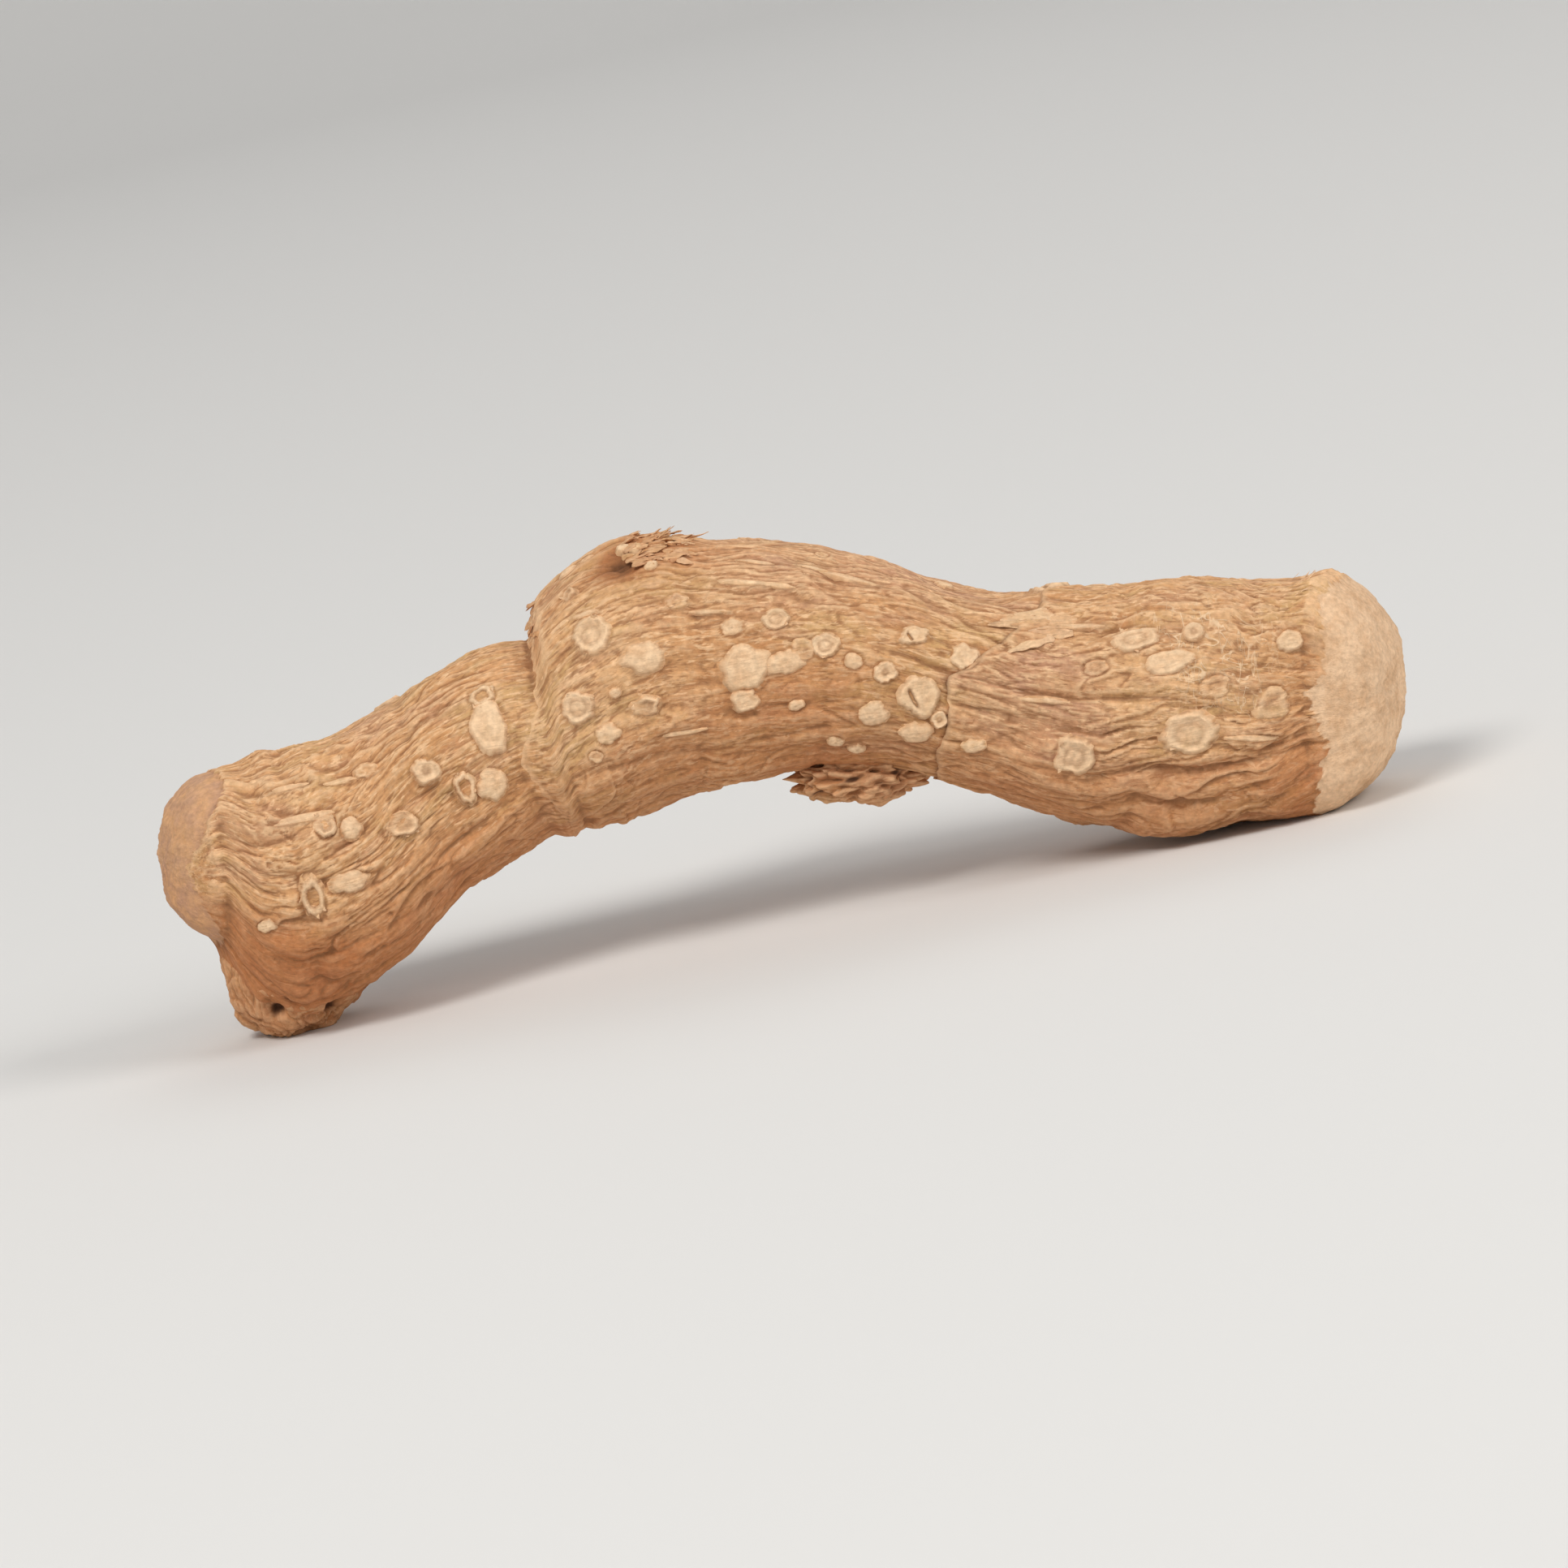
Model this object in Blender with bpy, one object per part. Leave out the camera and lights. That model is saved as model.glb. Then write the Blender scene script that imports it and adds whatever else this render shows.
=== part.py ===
# A dried length of calamus root: one arched piece of rhizome with two ring collars, round root
# scars, frayed leaf bases, the stubs of two side shoots and two cut ends. It stands on the one
# under its left end and on the underside of its right end. The front is -Y, the left end is -X,
# and the floor is Z = 0. Lengths in this file are millimetres until the mesh is made, which is in
# metres.

import math
import random

import bmesh
import bpy
from mathutils import Matrix, Vector, noise
from mathutils.bvhtree import BVHTree

MM = 0.001

# Driving dimensions
RINGS = 74                # sections along the root
SIDES = 40                # points round each section
TOP_POWER = 2.35          # how square the upper half of a section is, where 2 is an ellipse
UNDERSIDE_POWER = 2.75
REST_DEPTH = 0.5          # how much of the two lowest places is worn flat
LEFT_DOME = 3.5           # how far each cut face bulges
RIGHT_DOME = 4.9
WRINKLE_DEPTH = 0.95
LUMP_HEIGHT = 0.45
CREASE_DEPTH = 0.6
SWELL_PLACE = -17.3       # where the root swells after the first collar, sooner at the front
SWELL_REACH = 3.6
SCAR_RISE = 0.34          # how far a scar's rim stands out of the skin
SCAR_ROOT = 1.1           # how far it reaches into it
SIGHT_TILT = 10           # degrees above level of the line of sight that the front scars lie on
BACK_SCARS = 13
TOP_SCARS = 4
BLADE_THICKNESS = 0.8
BARK_COLOUR = (0.56, 0.32, 0.17, 1.0)
BARK_ROUGHNESS = 0.85

# The form of the root from left to right, a row for each place where it changes: the middle of
# the section along X and up, its lean to the left in degrees, its height, its middle's Y, its
# depth in front of and behind that middle, and its turn to the front in degrees.
STATIONS = (
    (-44.8, 15.5, -8.0, 13.2, -2.5, 5.5, 8.0, -14),
    (-43.7, 14.5, -8.2, 15.2, -2.5, 6.3, 8.6, -12),
    (-42.1, 13.2, -6.9, 17.0, -2.4, 7.0, 9.0, -9),
    (-39.8, 12.6, -3.1, 19.0, -2.2, 7.6, 9.4, -6),
    (-36.9, 12.6, -0.6, 19.0, -1.9, 7.8, 9.4, -3),
    (-32.4, 13.6, 1.8, 18.2, -1.4, 7.8, 9.0, 0),
    (-27.8, 16.0, 6.9, 16.2, -0.9, 7.4, 8.2, 0),
    (-23.5, 17.8, 6.9, 15.8, -0.5, 7.1, 7.7, 0),
    (-20.0, 18.8, 4.0, 15.0, -0.2, 6.9, 7.3, 0),
    (-17.7, 18.9, 1.0, 14.6, 0.0, 6.8, 7.1, 0),
    (-17.0, 19.0, 0.6, 14.7, 0.0, 6.9, 7.2, 0),
    (-15.9, 20.2, 0.3, 17.2, 0.1, 7.8, 8.2, 0),
    (-13.2, 21.3, -0.9, 19.3, 0.3, 8.6, 9.0, 0),
    (-10.2, 22.0, -4.3, 20.6, 0.4, 8.9, 9.4, 0),
    (-6.9, 22.1, -4.6, 20.0, 0.5, 8.8, 9.3, 0),
    (-3.8, 21.6, -8.4, 18.7, 0.5, 8.6, 9.1, 0),
    (-0.1, 21.1, -12.4, 17.8, 0.4, 8.4, 8.8, 0),
    (4.9, 20.2, -15.0, 16.1, 0.2, 8.2, 8.5, 0),
    (9.2, 18.8, -17.2, 15.0, 0.0, 8.0, 8.4, 0),
    (13.6, 16.5, -18.3, 14.7, -0.3, 7.9, 8.3, 0),
    (18.4, 14.2, -17.5, 15.5, -0.6, 7.9, 8.4, 0),
    (23.5, 12.2, -14.5, 17.7, -1.0, 8.2, 8.9, 0),
    (29.1, 11.1, -13.1, 19.0, -1.5, 8.2, 9.6, 3),
    (34.6, 10.1, -12.4, 18.4, -2.3, 7.4, 10.2, 9),
    (38.9, 9.3, -10.8, 18.3, -3.2, 6.4, 10.9, 17),
    (42.1, 9.3, -8.5, 18.9, -3.9, 5.0, 11.4, 25),
)

# The two collars, where an older length of the root ends inside the skin of the next: the place
# along X, how far it bows to the left at the front, how far it sweeps to the right at the top,
# the step in the skin at the front, at the top and below, and how soon it fades.
COLLARS = (
    (-17.0, -2.4, 0.0, 0.10, 0.45, 0.25, 5.0),
    (13.6, 0.0, 7.2, 0.35, 0.45, 0.30, 9.0),
)

# Stretches at the collars that the hidden scars stay clear of: the middle along X, and the reach.
SCAR_FREE = (
    (-17.0, 2.6),
    (16.0, 3.5),
)

# The stubs of two side shoots: the place of the middle, the radii, and how much the stub falls
# to the right. The first is the lower left foot of the root, the second is a broken plate.
SIDE_SHOOTS = (
    ((-41.0, -0.3, 4.75), (4.6, 5.2, 5.2), 0.0),
    ((5.5, -1.4, 10.7), (5.0, 3.7, 1.75), -0.14),
)

# Fainter rings left by leaf bases: the place along X and the depth of the groove.
LEAF_RINGS = (
    (-38.5, 0.30),
    (-27.0, 0.25),
    (-5.0, 0.25),
    (5.5, 0.22),
    (26.5, 0.28),
    (36.5, 0.25),
)

# Root scars on the front: the place along X and up, the radius, and the depth of the dish.
FRONT_SCARS = (
    (-21.3, 20.2, 1.6, 0.10),
    (-26.7, 18.0, 1.0, 0.30),
    (-24.1, 16.1, 1.1, 0.40),
    (-22.0, 15.9, 1.0, 0.10),
    (-29.3, 14.3, 1.0, 0.10),
    (-33.3, 14.9, 0.9, 0.10),
    (-37.2, 10.3, 1.3, 0.40),
    (-34.2, 10.8, 1.1, 0.05),
    (-12.1, 25.4, 1.3, 0.25),
    (-8.6, 23.0, 1.4, 0.05),
    (1.9, 23.6, 0.8, 0.20),
    (-1.1, 20.4, 1.7, 0.10),
    (-1.7, 18.0, 0.9, 0.10),
    (5.1, 20.8, 0.9, 0.25),
    (9.2, 17.8, 0.8, 0.25),
    (12.0, 20.1, 0.8, 0.05),
    (11.4, 15.4, 1.4, 0.35),
    (7.6, 14.8, 1.0, 0.05),
    (15.4, 17.6, 0.9, 0.10),
    (-14.3, 20.3, 1.1, 0.25),
    (-9.2, 19.2, 0.9, 0.20),
    (22.0, 8.3, 1.4, 0.30),
    (28.4, 16.1, 1.3, 0.25),
    (30.7, 13.8, 1.3, 0.15),
    (40.0, 13.4, 0.8, 0.10),
    (30.9, 8.1, 1.6, 0.25),
    (37.6, 8.9, 1.2, 0.10),
)

# Frayed leaf bases, in tufts: where the row of blades starts and ends, the way they point, their
# length and their number.
TUFTS = (
    ((-10.0, -1.8, 31.2), (-6.2, 2.2, 31.6), (1.0, -0.10, 0.05), 3.4, 6),
    ((-15.8, -2.8, 27.4), (-15.6, 2.5, 27.6), (-1.0, 0.05, 0.25), 2.4, 3),
    ((2.6, -3.4, 10.6), (7.6, -3.6, 9.9), (-1.0, -0.10, 0.00), 3.0, 3),
)


def clear_scene():
    for old in list(bpy.data.objects):
        bpy.data.objects.remove(old, do_unlink=True)


def smooth_mix(before, start, end, after, t):
    # A smooth curve through start and end that also follows the values on both sides.
    slope_in = (end - before) / 2
    slope_out = (after - start) / 2
    t2 = t * t
    t3 = t2 * t
    return ((2 * t3 - 3 * t2 + 1) * start + (t3 - 2 * t2 + t) * slope_in
            + (3 * t2 - 2 * t3) * end + (t3 - t2) * slope_out)


def section_at(x):
    # The station values at a place along X, read from a smooth curve through the rows.
    last = len(STATIONS) - 1
    row = 0
    while row < last - 1 and x > STATIONS[row + 1][0]:
        row += 1
    start, end = STATIONS[row], STATIONS[row + 1]
    before, after = STATIONS[max(row - 1, 0)], STATIONS[min(row + 2, last)]
    t = min(max((x - start[0]) / (end[0] - start[0]), 0.0), 1.0)
    return [x] + [smooth_mix(before[k], start[k], end[k], after[k], t) for k in range(1, 8)]


def section_radius(section, angle):
    height, front, back = section[3], section[5], section[6]
    depth = front if math.cos(angle) > 0 else back
    power = TOP_POWER if math.sin(angle) > 0 else UNDERSIDE_POWER
    across = abs(math.cos(angle) / depth) ** power
    up = abs(math.sin(angle) / (height / 2)) ** power
    return (across + up) ** (-1 / power)


def bump(distance, width):
    return math.exp(-(distance / width) ** 2)


def wrinkles(x, angle):
    # Long furrows that run with the root, deepest at both ends and underneath.
    way = Vector((x / 13, 2.7 * math.cos(angle), 2.7 * math.sin(angle)))
    way.y += 0.5 * noise.noise(way * 0.6 + Vector((9.1, 0, 0)))
    furrow = 1 - min(abs(noise.noise(way)) * 3.2, 1.0)
    fine = 1 - min(abs(noise.noise(way * 1.5 + Vector((0, 5.3, 0)))) * 3.0, 1.0)
    underneath = max(-math.sin(angle), 0.0)
    strength = 0.35 + 0.35 * underneath + 0.40 * bump(x + 42, 12) + 0.30 * bump(x - 30, 14)
    return WRINKLE_DEPTH * strength * (0.35 - 0.75 * furrow - 0.3 * fine)


def lumps(x, angle):
    way = Vector((x / 7, 1.6 * math.cos(angle), 1.6 * math.sin(angle)))
    return LUMP_HEIGHT * noise.noise(way + Vector((3.7, 1.1, 0)))


def collar_bow(angle):
    # How much of a collar's bow there is round the root: all of it at the middle of the front.
    return bump(math.sin(angle) + 0.15, 0.5) * math.sqrt(max(math.cos(angle), 0.0))


def collar_line(row, angle):
    # The place along X of a collar's ragged edge.
    place, bow, sweep = row[:3]
    ragged = 0.6 * noise.noise(Vector((place, 2.2 * math.cos(angle), 2.2 * math.sin(angle))))
    rise = max((math.sin(angle) - 0.05) / 0.95, 0.0) ** 1.5
    return place + bow * collar_bow(angle) + sweep * rise + ragged


def soft_step(low, high, value):
    t = min(max((value - low) / (high - low), 0.0), 1.0)
    return t * t * (3 - 2 * t)


def collars(x, angle):
    raised = 0.0
    for row in COLLARS:
        front, top, below, fade = row[3:]
        step = front + (top - front) * soft_step(0.35, 0.85, math.sin(angle))
        step += (below - front) * soft_step(-0.45, -0.85, math.sin(angle))
        past = x - collar_line(row, angle)
        if past > 0:
            raised += step * math.exp(-past / fade) * min(past / 0.9, 1.0)
        else:
            raised -= 0.5 * step * math.exp(past / 1.6)
    return raised


def leaf_rings(x, angle):
    groove = 0.0
    for place, depth in LEAF_RINGS:
        wander = 1.2 * noise.noise(Vector((place, 1.5 * math.cos(angle), 1.5 * math.sin(angle))))
        groove -= depth * bump(x - place - wander, 0.9)
    return groove


def crease(x, angle):
    # The deep fold along the lower front of the right-hand length.
    line = -0.45 + 0.25 * noise.noise(Vector((x / 9, 0, 5)))
    return -CREASE_DEPTH * bump(x - 31, 8) * bump(angle - line, 0.12)


def skin_point(x, angle):
    section = section_at(x)
    lean, turn = math.radians(section[2]), math.radians(section[7])
    up = Vector((-math.sin(lean), 0, math.cos(lean)))
    front = Vector((-math.sin(turn), -math.cos(turn), 0))
    shift = -COLLARS[0][1] * collar_bow(angle) * bump(x - SWELL_PLACE, SWELL_REACH)
    radius = section_radius(section_at(x + shift), angle)
    radius += wrinkles(x, angle) + lumps(x, angle) + collars(x, angle)
    radius += leaf_rings(x, angle) + crease(x, angle)
    middle = Vector((section[0], section[4], section[1]))
    return middle + up * (radius * math.sin(angle)) + front * (radius * math.cos(angle))


def ring_middle(x):
    section = section_at(x)
    return Vector((section[0], section[4], section[1]))


def end_normal(section, side):
    lean, turn = math.radians(section[2]), math.radians(section[7])
    up = Vector((-math.sin(lean), 0, math.cos(lean)))
    front = Vector((-math.sin(turn), -math.cos(turn), 0))
    return up.cross(front).normalized() * side


def add_cut_face(shape, rim, x, side, dome):
    # A shallow dome of three smaller rings and a middle point, a little uneven as a dried cut is.
    middle = sum((v.co for v in rim), Vector()) / len(rim)
    normal = end_normal(section_at(x), side)
    outer = rim
    for share, rise in ((0.93, 0.30), (0.68, 0.74), (0.34, 0.96)):
        ring = []
        for v in rim:
            place = middle + (v.co - middle) * share
            uneven = 0.30 * noise.noise(place * 0.45)
            ring.append(shape.verts.new(place + normal * (dome * rise + uneven)))
        join_rings(shape, outer, ring, side)
        outer = ring
    tip = shape.verts.new(middle + normal * dome)
    for k in range(len(outer)):
        corner = (outer[k], outer[(k + 1) % len(outer)], tip)
        shape.faces.new(corner if side > 0 else corner[::-1])


def join_rings(shape, first, second, side):
    count = len(first)
    for k in range(count):
        after = (k + 1) % count
        face = (first[k], first[after], second[after], second[k])
        shape.faces.new(face if side > 0 else face[::-1])


def build_length():
    # The whole root as one closed skin, before its scars, blades and knob are joined to it.
    shape = bmesh.new()
    start, end = STATIONS[0][0], STATIONS[-1][0]
    rings = []
    for r in range(RINGS):
        x = start + (end - start) * r / (RINGS - 1)
        angles = [-math.pi + 2 * math.pi * k / SIDES for k in range(SIDES)]
        rings.append([shape.verts.new(skin_point(x, angle)) for angle in angles])
    for first, second in zip(rings, rings[1:]):
        join_rings(shape, first, second, 1)
    add_cut_face(shape, rings[0], start, -1, LEFT_DOME)
    add_cut_face(shape, rings[-1], end, 1, RIGHT_DOME)
    bmesh.ops.triangulate(shape, faces=shape.faces)
    bmesh.ops.recalc_face_normals(shape, faces=shape.faces)
    return shape


def new_object(name, shape, collection):
    bmesh.ops.scale(shape, vec=(MM, MM, MM), verts=shape.verts)
    mesh = bpy.data.meshes.new(name)
    shape.to_mesh(mesh)
    shape.free()
    piece = bpy.data.objects.new(name, mesh)
    collection.objects.link(piece)
    return piece


def build_shoot(collection, middle, radii, fall):
    # The uneven stub of a side shoot, sunk in the root.
    shape = bmesh.new()
    bmesh.ops.create_uvsphere(shape, u_segments=18, v_segments=10, radius=1)
    for v in shape.verts:
        way = v.co.copy()
        size = 1 + 0.16 * noise.noise(way * 1.7 + Vector((4 + middle[0], 0, 0)))
        v.co = Vector([middle[k] + radii[k] * way[k] * size for k in range(3)])
        v.co.z += (v.co.x - middle[0]) * fall
    bmesh.ops.triangulate(shape, faces=shape.faces)
    new_object("shoot", shape, collection)


def build_scar(collection, place, normal, radius, dish, stretch):
    # A low disc with a raised rim and a dished middle, its root sunk into the skin.
    sides = 8 if radius > 1.2 else 7
    shape = bmesh.new()
    levels = ((1.0, -SCAR_ROOT), (0.97, SCAR_RISE * 0.35), (0.70, SCAR_RISE))
    rings = []
    for share, rise in levels:
        ring = []
        for k in range(sides):
            angle = 2 * math.pi * k / sides
            ring.append(shape.verts.new((radius * share * stretch * math.cos(angle),
                                         radius * share * math.sin(angle), rise)))
        rings.append(ring)
    for first, second in zip(rings, rings[1:]):
        join_rings(shape, first, second, 1)
    dip = shape.verts.new((0, 0, SCAR_RISE - dish - 0.1))
    for k in range(sides):
        shape.faces.new((rings[-1][k], rings[-1][(k + 1) % sides], dip))
    shape.faces.new(rings[0][::-1])
    turn = normal.to_track_quat("Z", "X").to_matrix().to_4x4()
    bmesh.ops.transform(shape, matrix=Matrix.Translation(place) @ turn, verts=shape.verts)
    bmesh.ops.triangulate(shape, faces=shape.faces)
    new_object("scar", shape, collection)


def add_front_scars(collection, skin):
    # Each scar lies where a line of sight through its place in the front view meets the skin.
    tilt = math.radians(SIGHT_TILT)
    sight = Vector((0, math.cos(tilt), -math.sin(tilt)))
    for x, z, radius, dish in FRONT_SCARS:
        place, normal, _, _ = skin.ray_cast(Vector((x, 0, z)) - sight * 60, sight)
        build_scar(collection, place, normal, radius, dish, 1.15)


def add_hidden_scars(collection, skin):
    # The same scars scattered over the back and the top, by a rule with seeded draws.
    draw = random.Random(11)
    placed = []
    for side, count in (("back", BACK_SCARS), ("top", TOP_SCARS)):
        made = 0
        while made < count:
            x = draw.uniform(-38, 39)
            middle = ring_middle(x)
            if side == "back":
                start = Vector((x, 60, middle.z + draw.uniform(-5, 6)))
                way = Vector((0, -1, 0))
            else:
                start = Vector((x, middle.y + draw.uniform(1, 6), 80))
                way = Vector((0, 0, -1))
            place, normal, _, _ = skin.ray_cast(start, way)
            radius = draw.uniform(0.9, 1.7)
            clear = all((place - other).length > radius + size + 1.2 for other, size in placed)
            near_collar = any(abs(x - free) < reach for free, reach in SCAR_FREE)
            if clear and not near_collar:
                build_scar(collection, place, normal, radius, draw.uniform(0.05, 0.4), 1.1)
                placed.append((place, radius))
                made += 1


def build_blade(collection, root, way, length, width, lift):
    # A torn flat strip that tapers to a point, its thick end sunk in the root.
    way = way.normalized()
    across = way.cross(lift).normalized()
    out = across.cross(way).normalized()
    shape = bmesh.new()
    rings = []
    for reach, share in ((-0.35, 1.0), (0.55, 0.75), (1.0, 0.30)):
        middle = root + way * (length * reach)
        half = across * (width * share / 2)
        thick = out * (BLADE_THICKNESS * (0.6 + 0.4 * share) / 2)
        corners = (middle - half - thick, middle + half - thick, middle + half + thick,
                   middle - half + thick)
        rings.append([shape.verts.new(corner) for corner in corners])
    for first, second in zip(rings, rings[1:]):
        join_rings(shape, first, second, 1)
    shape.faces.new(rings[0][::-1])
    shape.faces.new(rings[-1])
    bmesh.ops.triangulate(shape, faces=shape.faces)
    bmesh.ops.recalc_face_normals(shape, faces=shape.faces)
    new_object("blade", shape, collection)


def add_tufts(collection):
    draw = random.Random(5)
    for start, end, way, length, count in TUFTS:
        for k in range(count):
            root = Vector(start).lerp(Vector(end), k / (count - 1))
            away = (root - ring_middle(root.x)).normalized()
            jitter = Vector((0, draw.uniform(-0.35, 0.35), draw.uniform(-0.12, 0.12)))
            reach = length * draw.uniform(0.65, 1.15)
            build_blade(collection, root, Vector(way) + jitter, reach,
                        draw.uniform(1.8, 3.0), away)


def join_to_length(piece, collection):
    union = piece.modifiers.new("join", "BOOLEAN")
    union.operation = "UNION"
    union.operand_type = "COLLECTION"
    union.collection = collection
    union.solver = "EXACT"
    with bpy.context.temp_override(object=piece, active_object=piece):
        bpy.ops.object.modifier_apply(modifier=union.name)
    for extra in list(collection.objects):
        bpy.data.objects.remove(extra, do_unlink=True)
    bpy.data.collections.remove(collection)


def wear_feet_flat(piece):
    # The two lowest places are pressed flat, so the root rests level on the floor.
    shape = bmesh.new()
    shape.from_mesh(piece.data)
    for v in shape.verts:
        v.co.z = max(v.co.z - REST_DEPTH * MM, 0.0)
    bmesh.ops.remove_doubles(shape, verts=shape.verts, dist=0.02 * MM)
    bmesh.ops.dissolve_degenerate(shape, edges=shape.edges, dist=0.005 * MM)
    bmesh.ops.triangulate(shape, faces=shape.faces)
    shape.to_mesh(piece.data)
    shape.free()


def bark_material():
    bark = bpy.data.materials.new("dried_root")
    bark.use_nodes = True
    shader = bark.node_tree.nodes["Principled BSDF"]
    shader.inputs["Base Color"].default_value = BARK_COLOUR
    shader.inputs["Roughness"].default_value = BARK_ROUGHNESS
    shader.inputs["Metallic"].default_value = 0.0
    return bark


def main():
    clear_scene()
    shape = build_length()
    skin = BVHTree.FromBMesh(shape)
    extras = bpy.data.collections.new("extras")
    bpy.context.scene.collection.children.link(extras)
    for middle, radii, fall in SIDE_SHOOTS:
        build_shoot(extras, middle, radii, fall)
    add_front_scars(extras, skin)
    add_hidden_scars(extras, skin)
    add_tufts(extras)
    rhizome = new_object("rhizome", shape, bpy.context.scene.collection)
    join_to_length(rhizome, extras)
    wear_feet_flat(rhizome)
    rhizome.data.materials.clear()
    rhizome.data.materials.append(bark_material())
    rhizome.data.shade_smooth()
    rhizome.data.set_sharp_from_angle(angle=math.radians(50))


main()
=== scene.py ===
import math
import random

import bpy
import numpy as np
from mathutils import Matrix, Vector, noise
from mathutils.bvhtree import BVHTree


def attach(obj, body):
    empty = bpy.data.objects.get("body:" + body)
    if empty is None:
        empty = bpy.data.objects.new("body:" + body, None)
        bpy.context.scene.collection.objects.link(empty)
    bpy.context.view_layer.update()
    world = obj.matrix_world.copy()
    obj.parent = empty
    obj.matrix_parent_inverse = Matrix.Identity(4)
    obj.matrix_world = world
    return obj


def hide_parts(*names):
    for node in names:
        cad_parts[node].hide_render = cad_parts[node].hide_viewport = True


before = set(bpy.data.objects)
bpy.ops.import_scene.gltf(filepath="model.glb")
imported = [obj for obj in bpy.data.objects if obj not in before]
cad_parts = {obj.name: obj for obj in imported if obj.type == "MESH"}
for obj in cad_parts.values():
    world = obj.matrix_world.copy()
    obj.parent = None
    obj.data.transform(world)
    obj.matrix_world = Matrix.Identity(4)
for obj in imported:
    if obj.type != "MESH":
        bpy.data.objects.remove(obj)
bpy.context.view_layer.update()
print("frame loaded")

mm = 0.001
bpy.context.scene.view_settings.view_transform = "Standard"

# The root's form, in mm: a row for each place where it changes. Middle along X, middle up, lean,
# height, middle's Y, depth in front, depth behind, turn to the front.
rootForm = {
    "rows": (
        (-44.8, 15.5, -8.0, 13.2, -2.5, 5.5, 8.0, -14),
        (-43.7, 14.5, -8.2, 15.2, -2.5, 6.3, 8.6, -12),
        (-42.1, 13.2, -6.9, 17.0, -2.4, 7.0, 9.0, -9),
        (-39.8, 12.6, -3.1, 19.0, -2.2, 7.6, 9.4, -6),
        (-36.9, 12.6, -0.6, 19.0, -1.9, 7.8, 9.4, -3),
        (-32.4, 13.6, 1.8, 18.2, -1.4, 7.8, 9.0, 0),
        (-27.8, 16.0, 6.9, 16.2, -0.9, 7.4, 8.2, 0),
        (-23.5, 17.8, 6.9, 15.8, -0.5, 7.1, 7.7, 0),
        (-20.0, 18.8, 4.0, 15.0, -0.2, 6.9, 7.3, 0),
        (-17.7, 18.9, 1.0, 14.6, 0.0, 6.8, 7.1, 0),
        (-17.0, 19.0, 0.6, 14.7, 0.0, 6.9, 7.2, 0),
        (-15.9, 20.2, 0.3, 17.2, 0.1, 7.8, 8.2, 0),
        (-13.2, 21.3, -0.9, 19.3, 0.3, 8.6, 9.0, 0),
        (-10.2, 22.0, -4.3, 20.6, 0.4, 8.9, 9.4, 0),
        (-6.9, 22.1, -4.6, 20.0, 0.5, 8.8, 9.3, 0),
        (-3.8, 21.6, -8.4, 18.7, 0.5, 8.6, 9.1, 0),
        (-0.1, 21.1, -12.4, 17.8, 0.4, 8.4, 8.8, 0),
        (4.9, 20.2, -15.0, 16.1, 0.2, 8.2, 8.5, 0),
        (9.2, 18.8, -17.2, 15.0, 0.0, 8.0, 8.4, 0),
        (13.6, 16.5, -18.3, 14.7, -0.3, 7.9, 8.3, 0),
        (18.4, 14.2, -17.5, 15.5, -0.6, 7.9, 8.4, 0),
        (23.5, 12.2, -14.5, 17.7, -1.0, 8.2, 8.9, 0),
        (29.1, 11.1, -13.1, 19.0, -1.5, 8.2, 9.6, 3),
        (34.6, 10.1, -12.4, 18.4, -2.3, 7.4, 10.2, 9),
        (38.9, 9.3, -10.8, 18.3, -3.2, 6.4, 10.9, 17),
        (42.1, 9.3, -8.5, 18.9, -3.9, 5.0, 11.4, 25),
    ),
    "topPower": 2.35,
    "undersidePower": 2.75,
    "leftDome": 3.5,
    "rightDome": 4.9,
    "restDepth": 0.5,
}
rows = np.array(rootForm["rows"])
alongAt, upAt, leanAt, heightAt, asideAt, frontAt, behindAt, turnAt = range(8)
leftEnd, rightEnd = rows[0, alongAt], rows[-1, alongAt]
grainRadius = 9.0  # mm, the middling radius that the grain coordinates are wrapped on
farOut = 60  # mm, outside the root on every side


def sectionAt(along):
    # the form's values at many places, on the same smooth curve through the rows as the frame's
    last = len(rows) - 1
    row = np.clip(np.searchsorted(rows[:, alongAt], along, side="left") - 1, 0, last - 1)
    start, end = rows[row], rows[row + 1]
    before, after = rows[np.maximum(row - 1, 0)], rows[np.minimum(row + 2, last)]
    span = end[:, alongAt] - start[:, alongAt]
    t = np.clip((along - start[:, alongAt]) / span, 0, 1)[:, None]
    slopeIn, slopeOut = (end - before) / 2, (after - start) / 2
    values = ((2 * t**3 - 3 * t**2 + 1) * start + (t**3 - 2 * t**2 + t) * slopeIn
              + (3 * t**2 - 2 * t**3) * end + (t**3 - t**2) * slopeOut)
    values[:, alongAt] = along
    return values


def sectionAxes(section):
    # the ways up and to the front of one section
    lean, turn = math.radians(section[leanAt]), math.radians(section[turnAt])
    return (Vector((-math.sin(lean), 0, math.cos(lean))),
            Vector((-math.sin(turn), -math.cos(turn), 0)))


def noiseAt(points, offset=(0, 0, 0)):
    moved = np.asarray(points, float) + offset
    return np.array([noise.noise(p) for p in moved.tolist()])


def hump(distance, width):
    return np.exp(-(distance / width) ** 2)


def smoothStep(low, high, value):
    t = np.clip((value - low) / (high - low), 0, 1)
    return t * t * (3 - 2 * t)


def deselectAll():
    if bpy.context.mode != "OBJECT":
        bpy.ops.object.mode_set(mode="OBJECT")
    bpy.ops.object.select_all(action="DESELECT")


def renameActive(name):
    piece = bpy.context.active_object
    piece.name = name
    piece.data.name = name
    return piece


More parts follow.
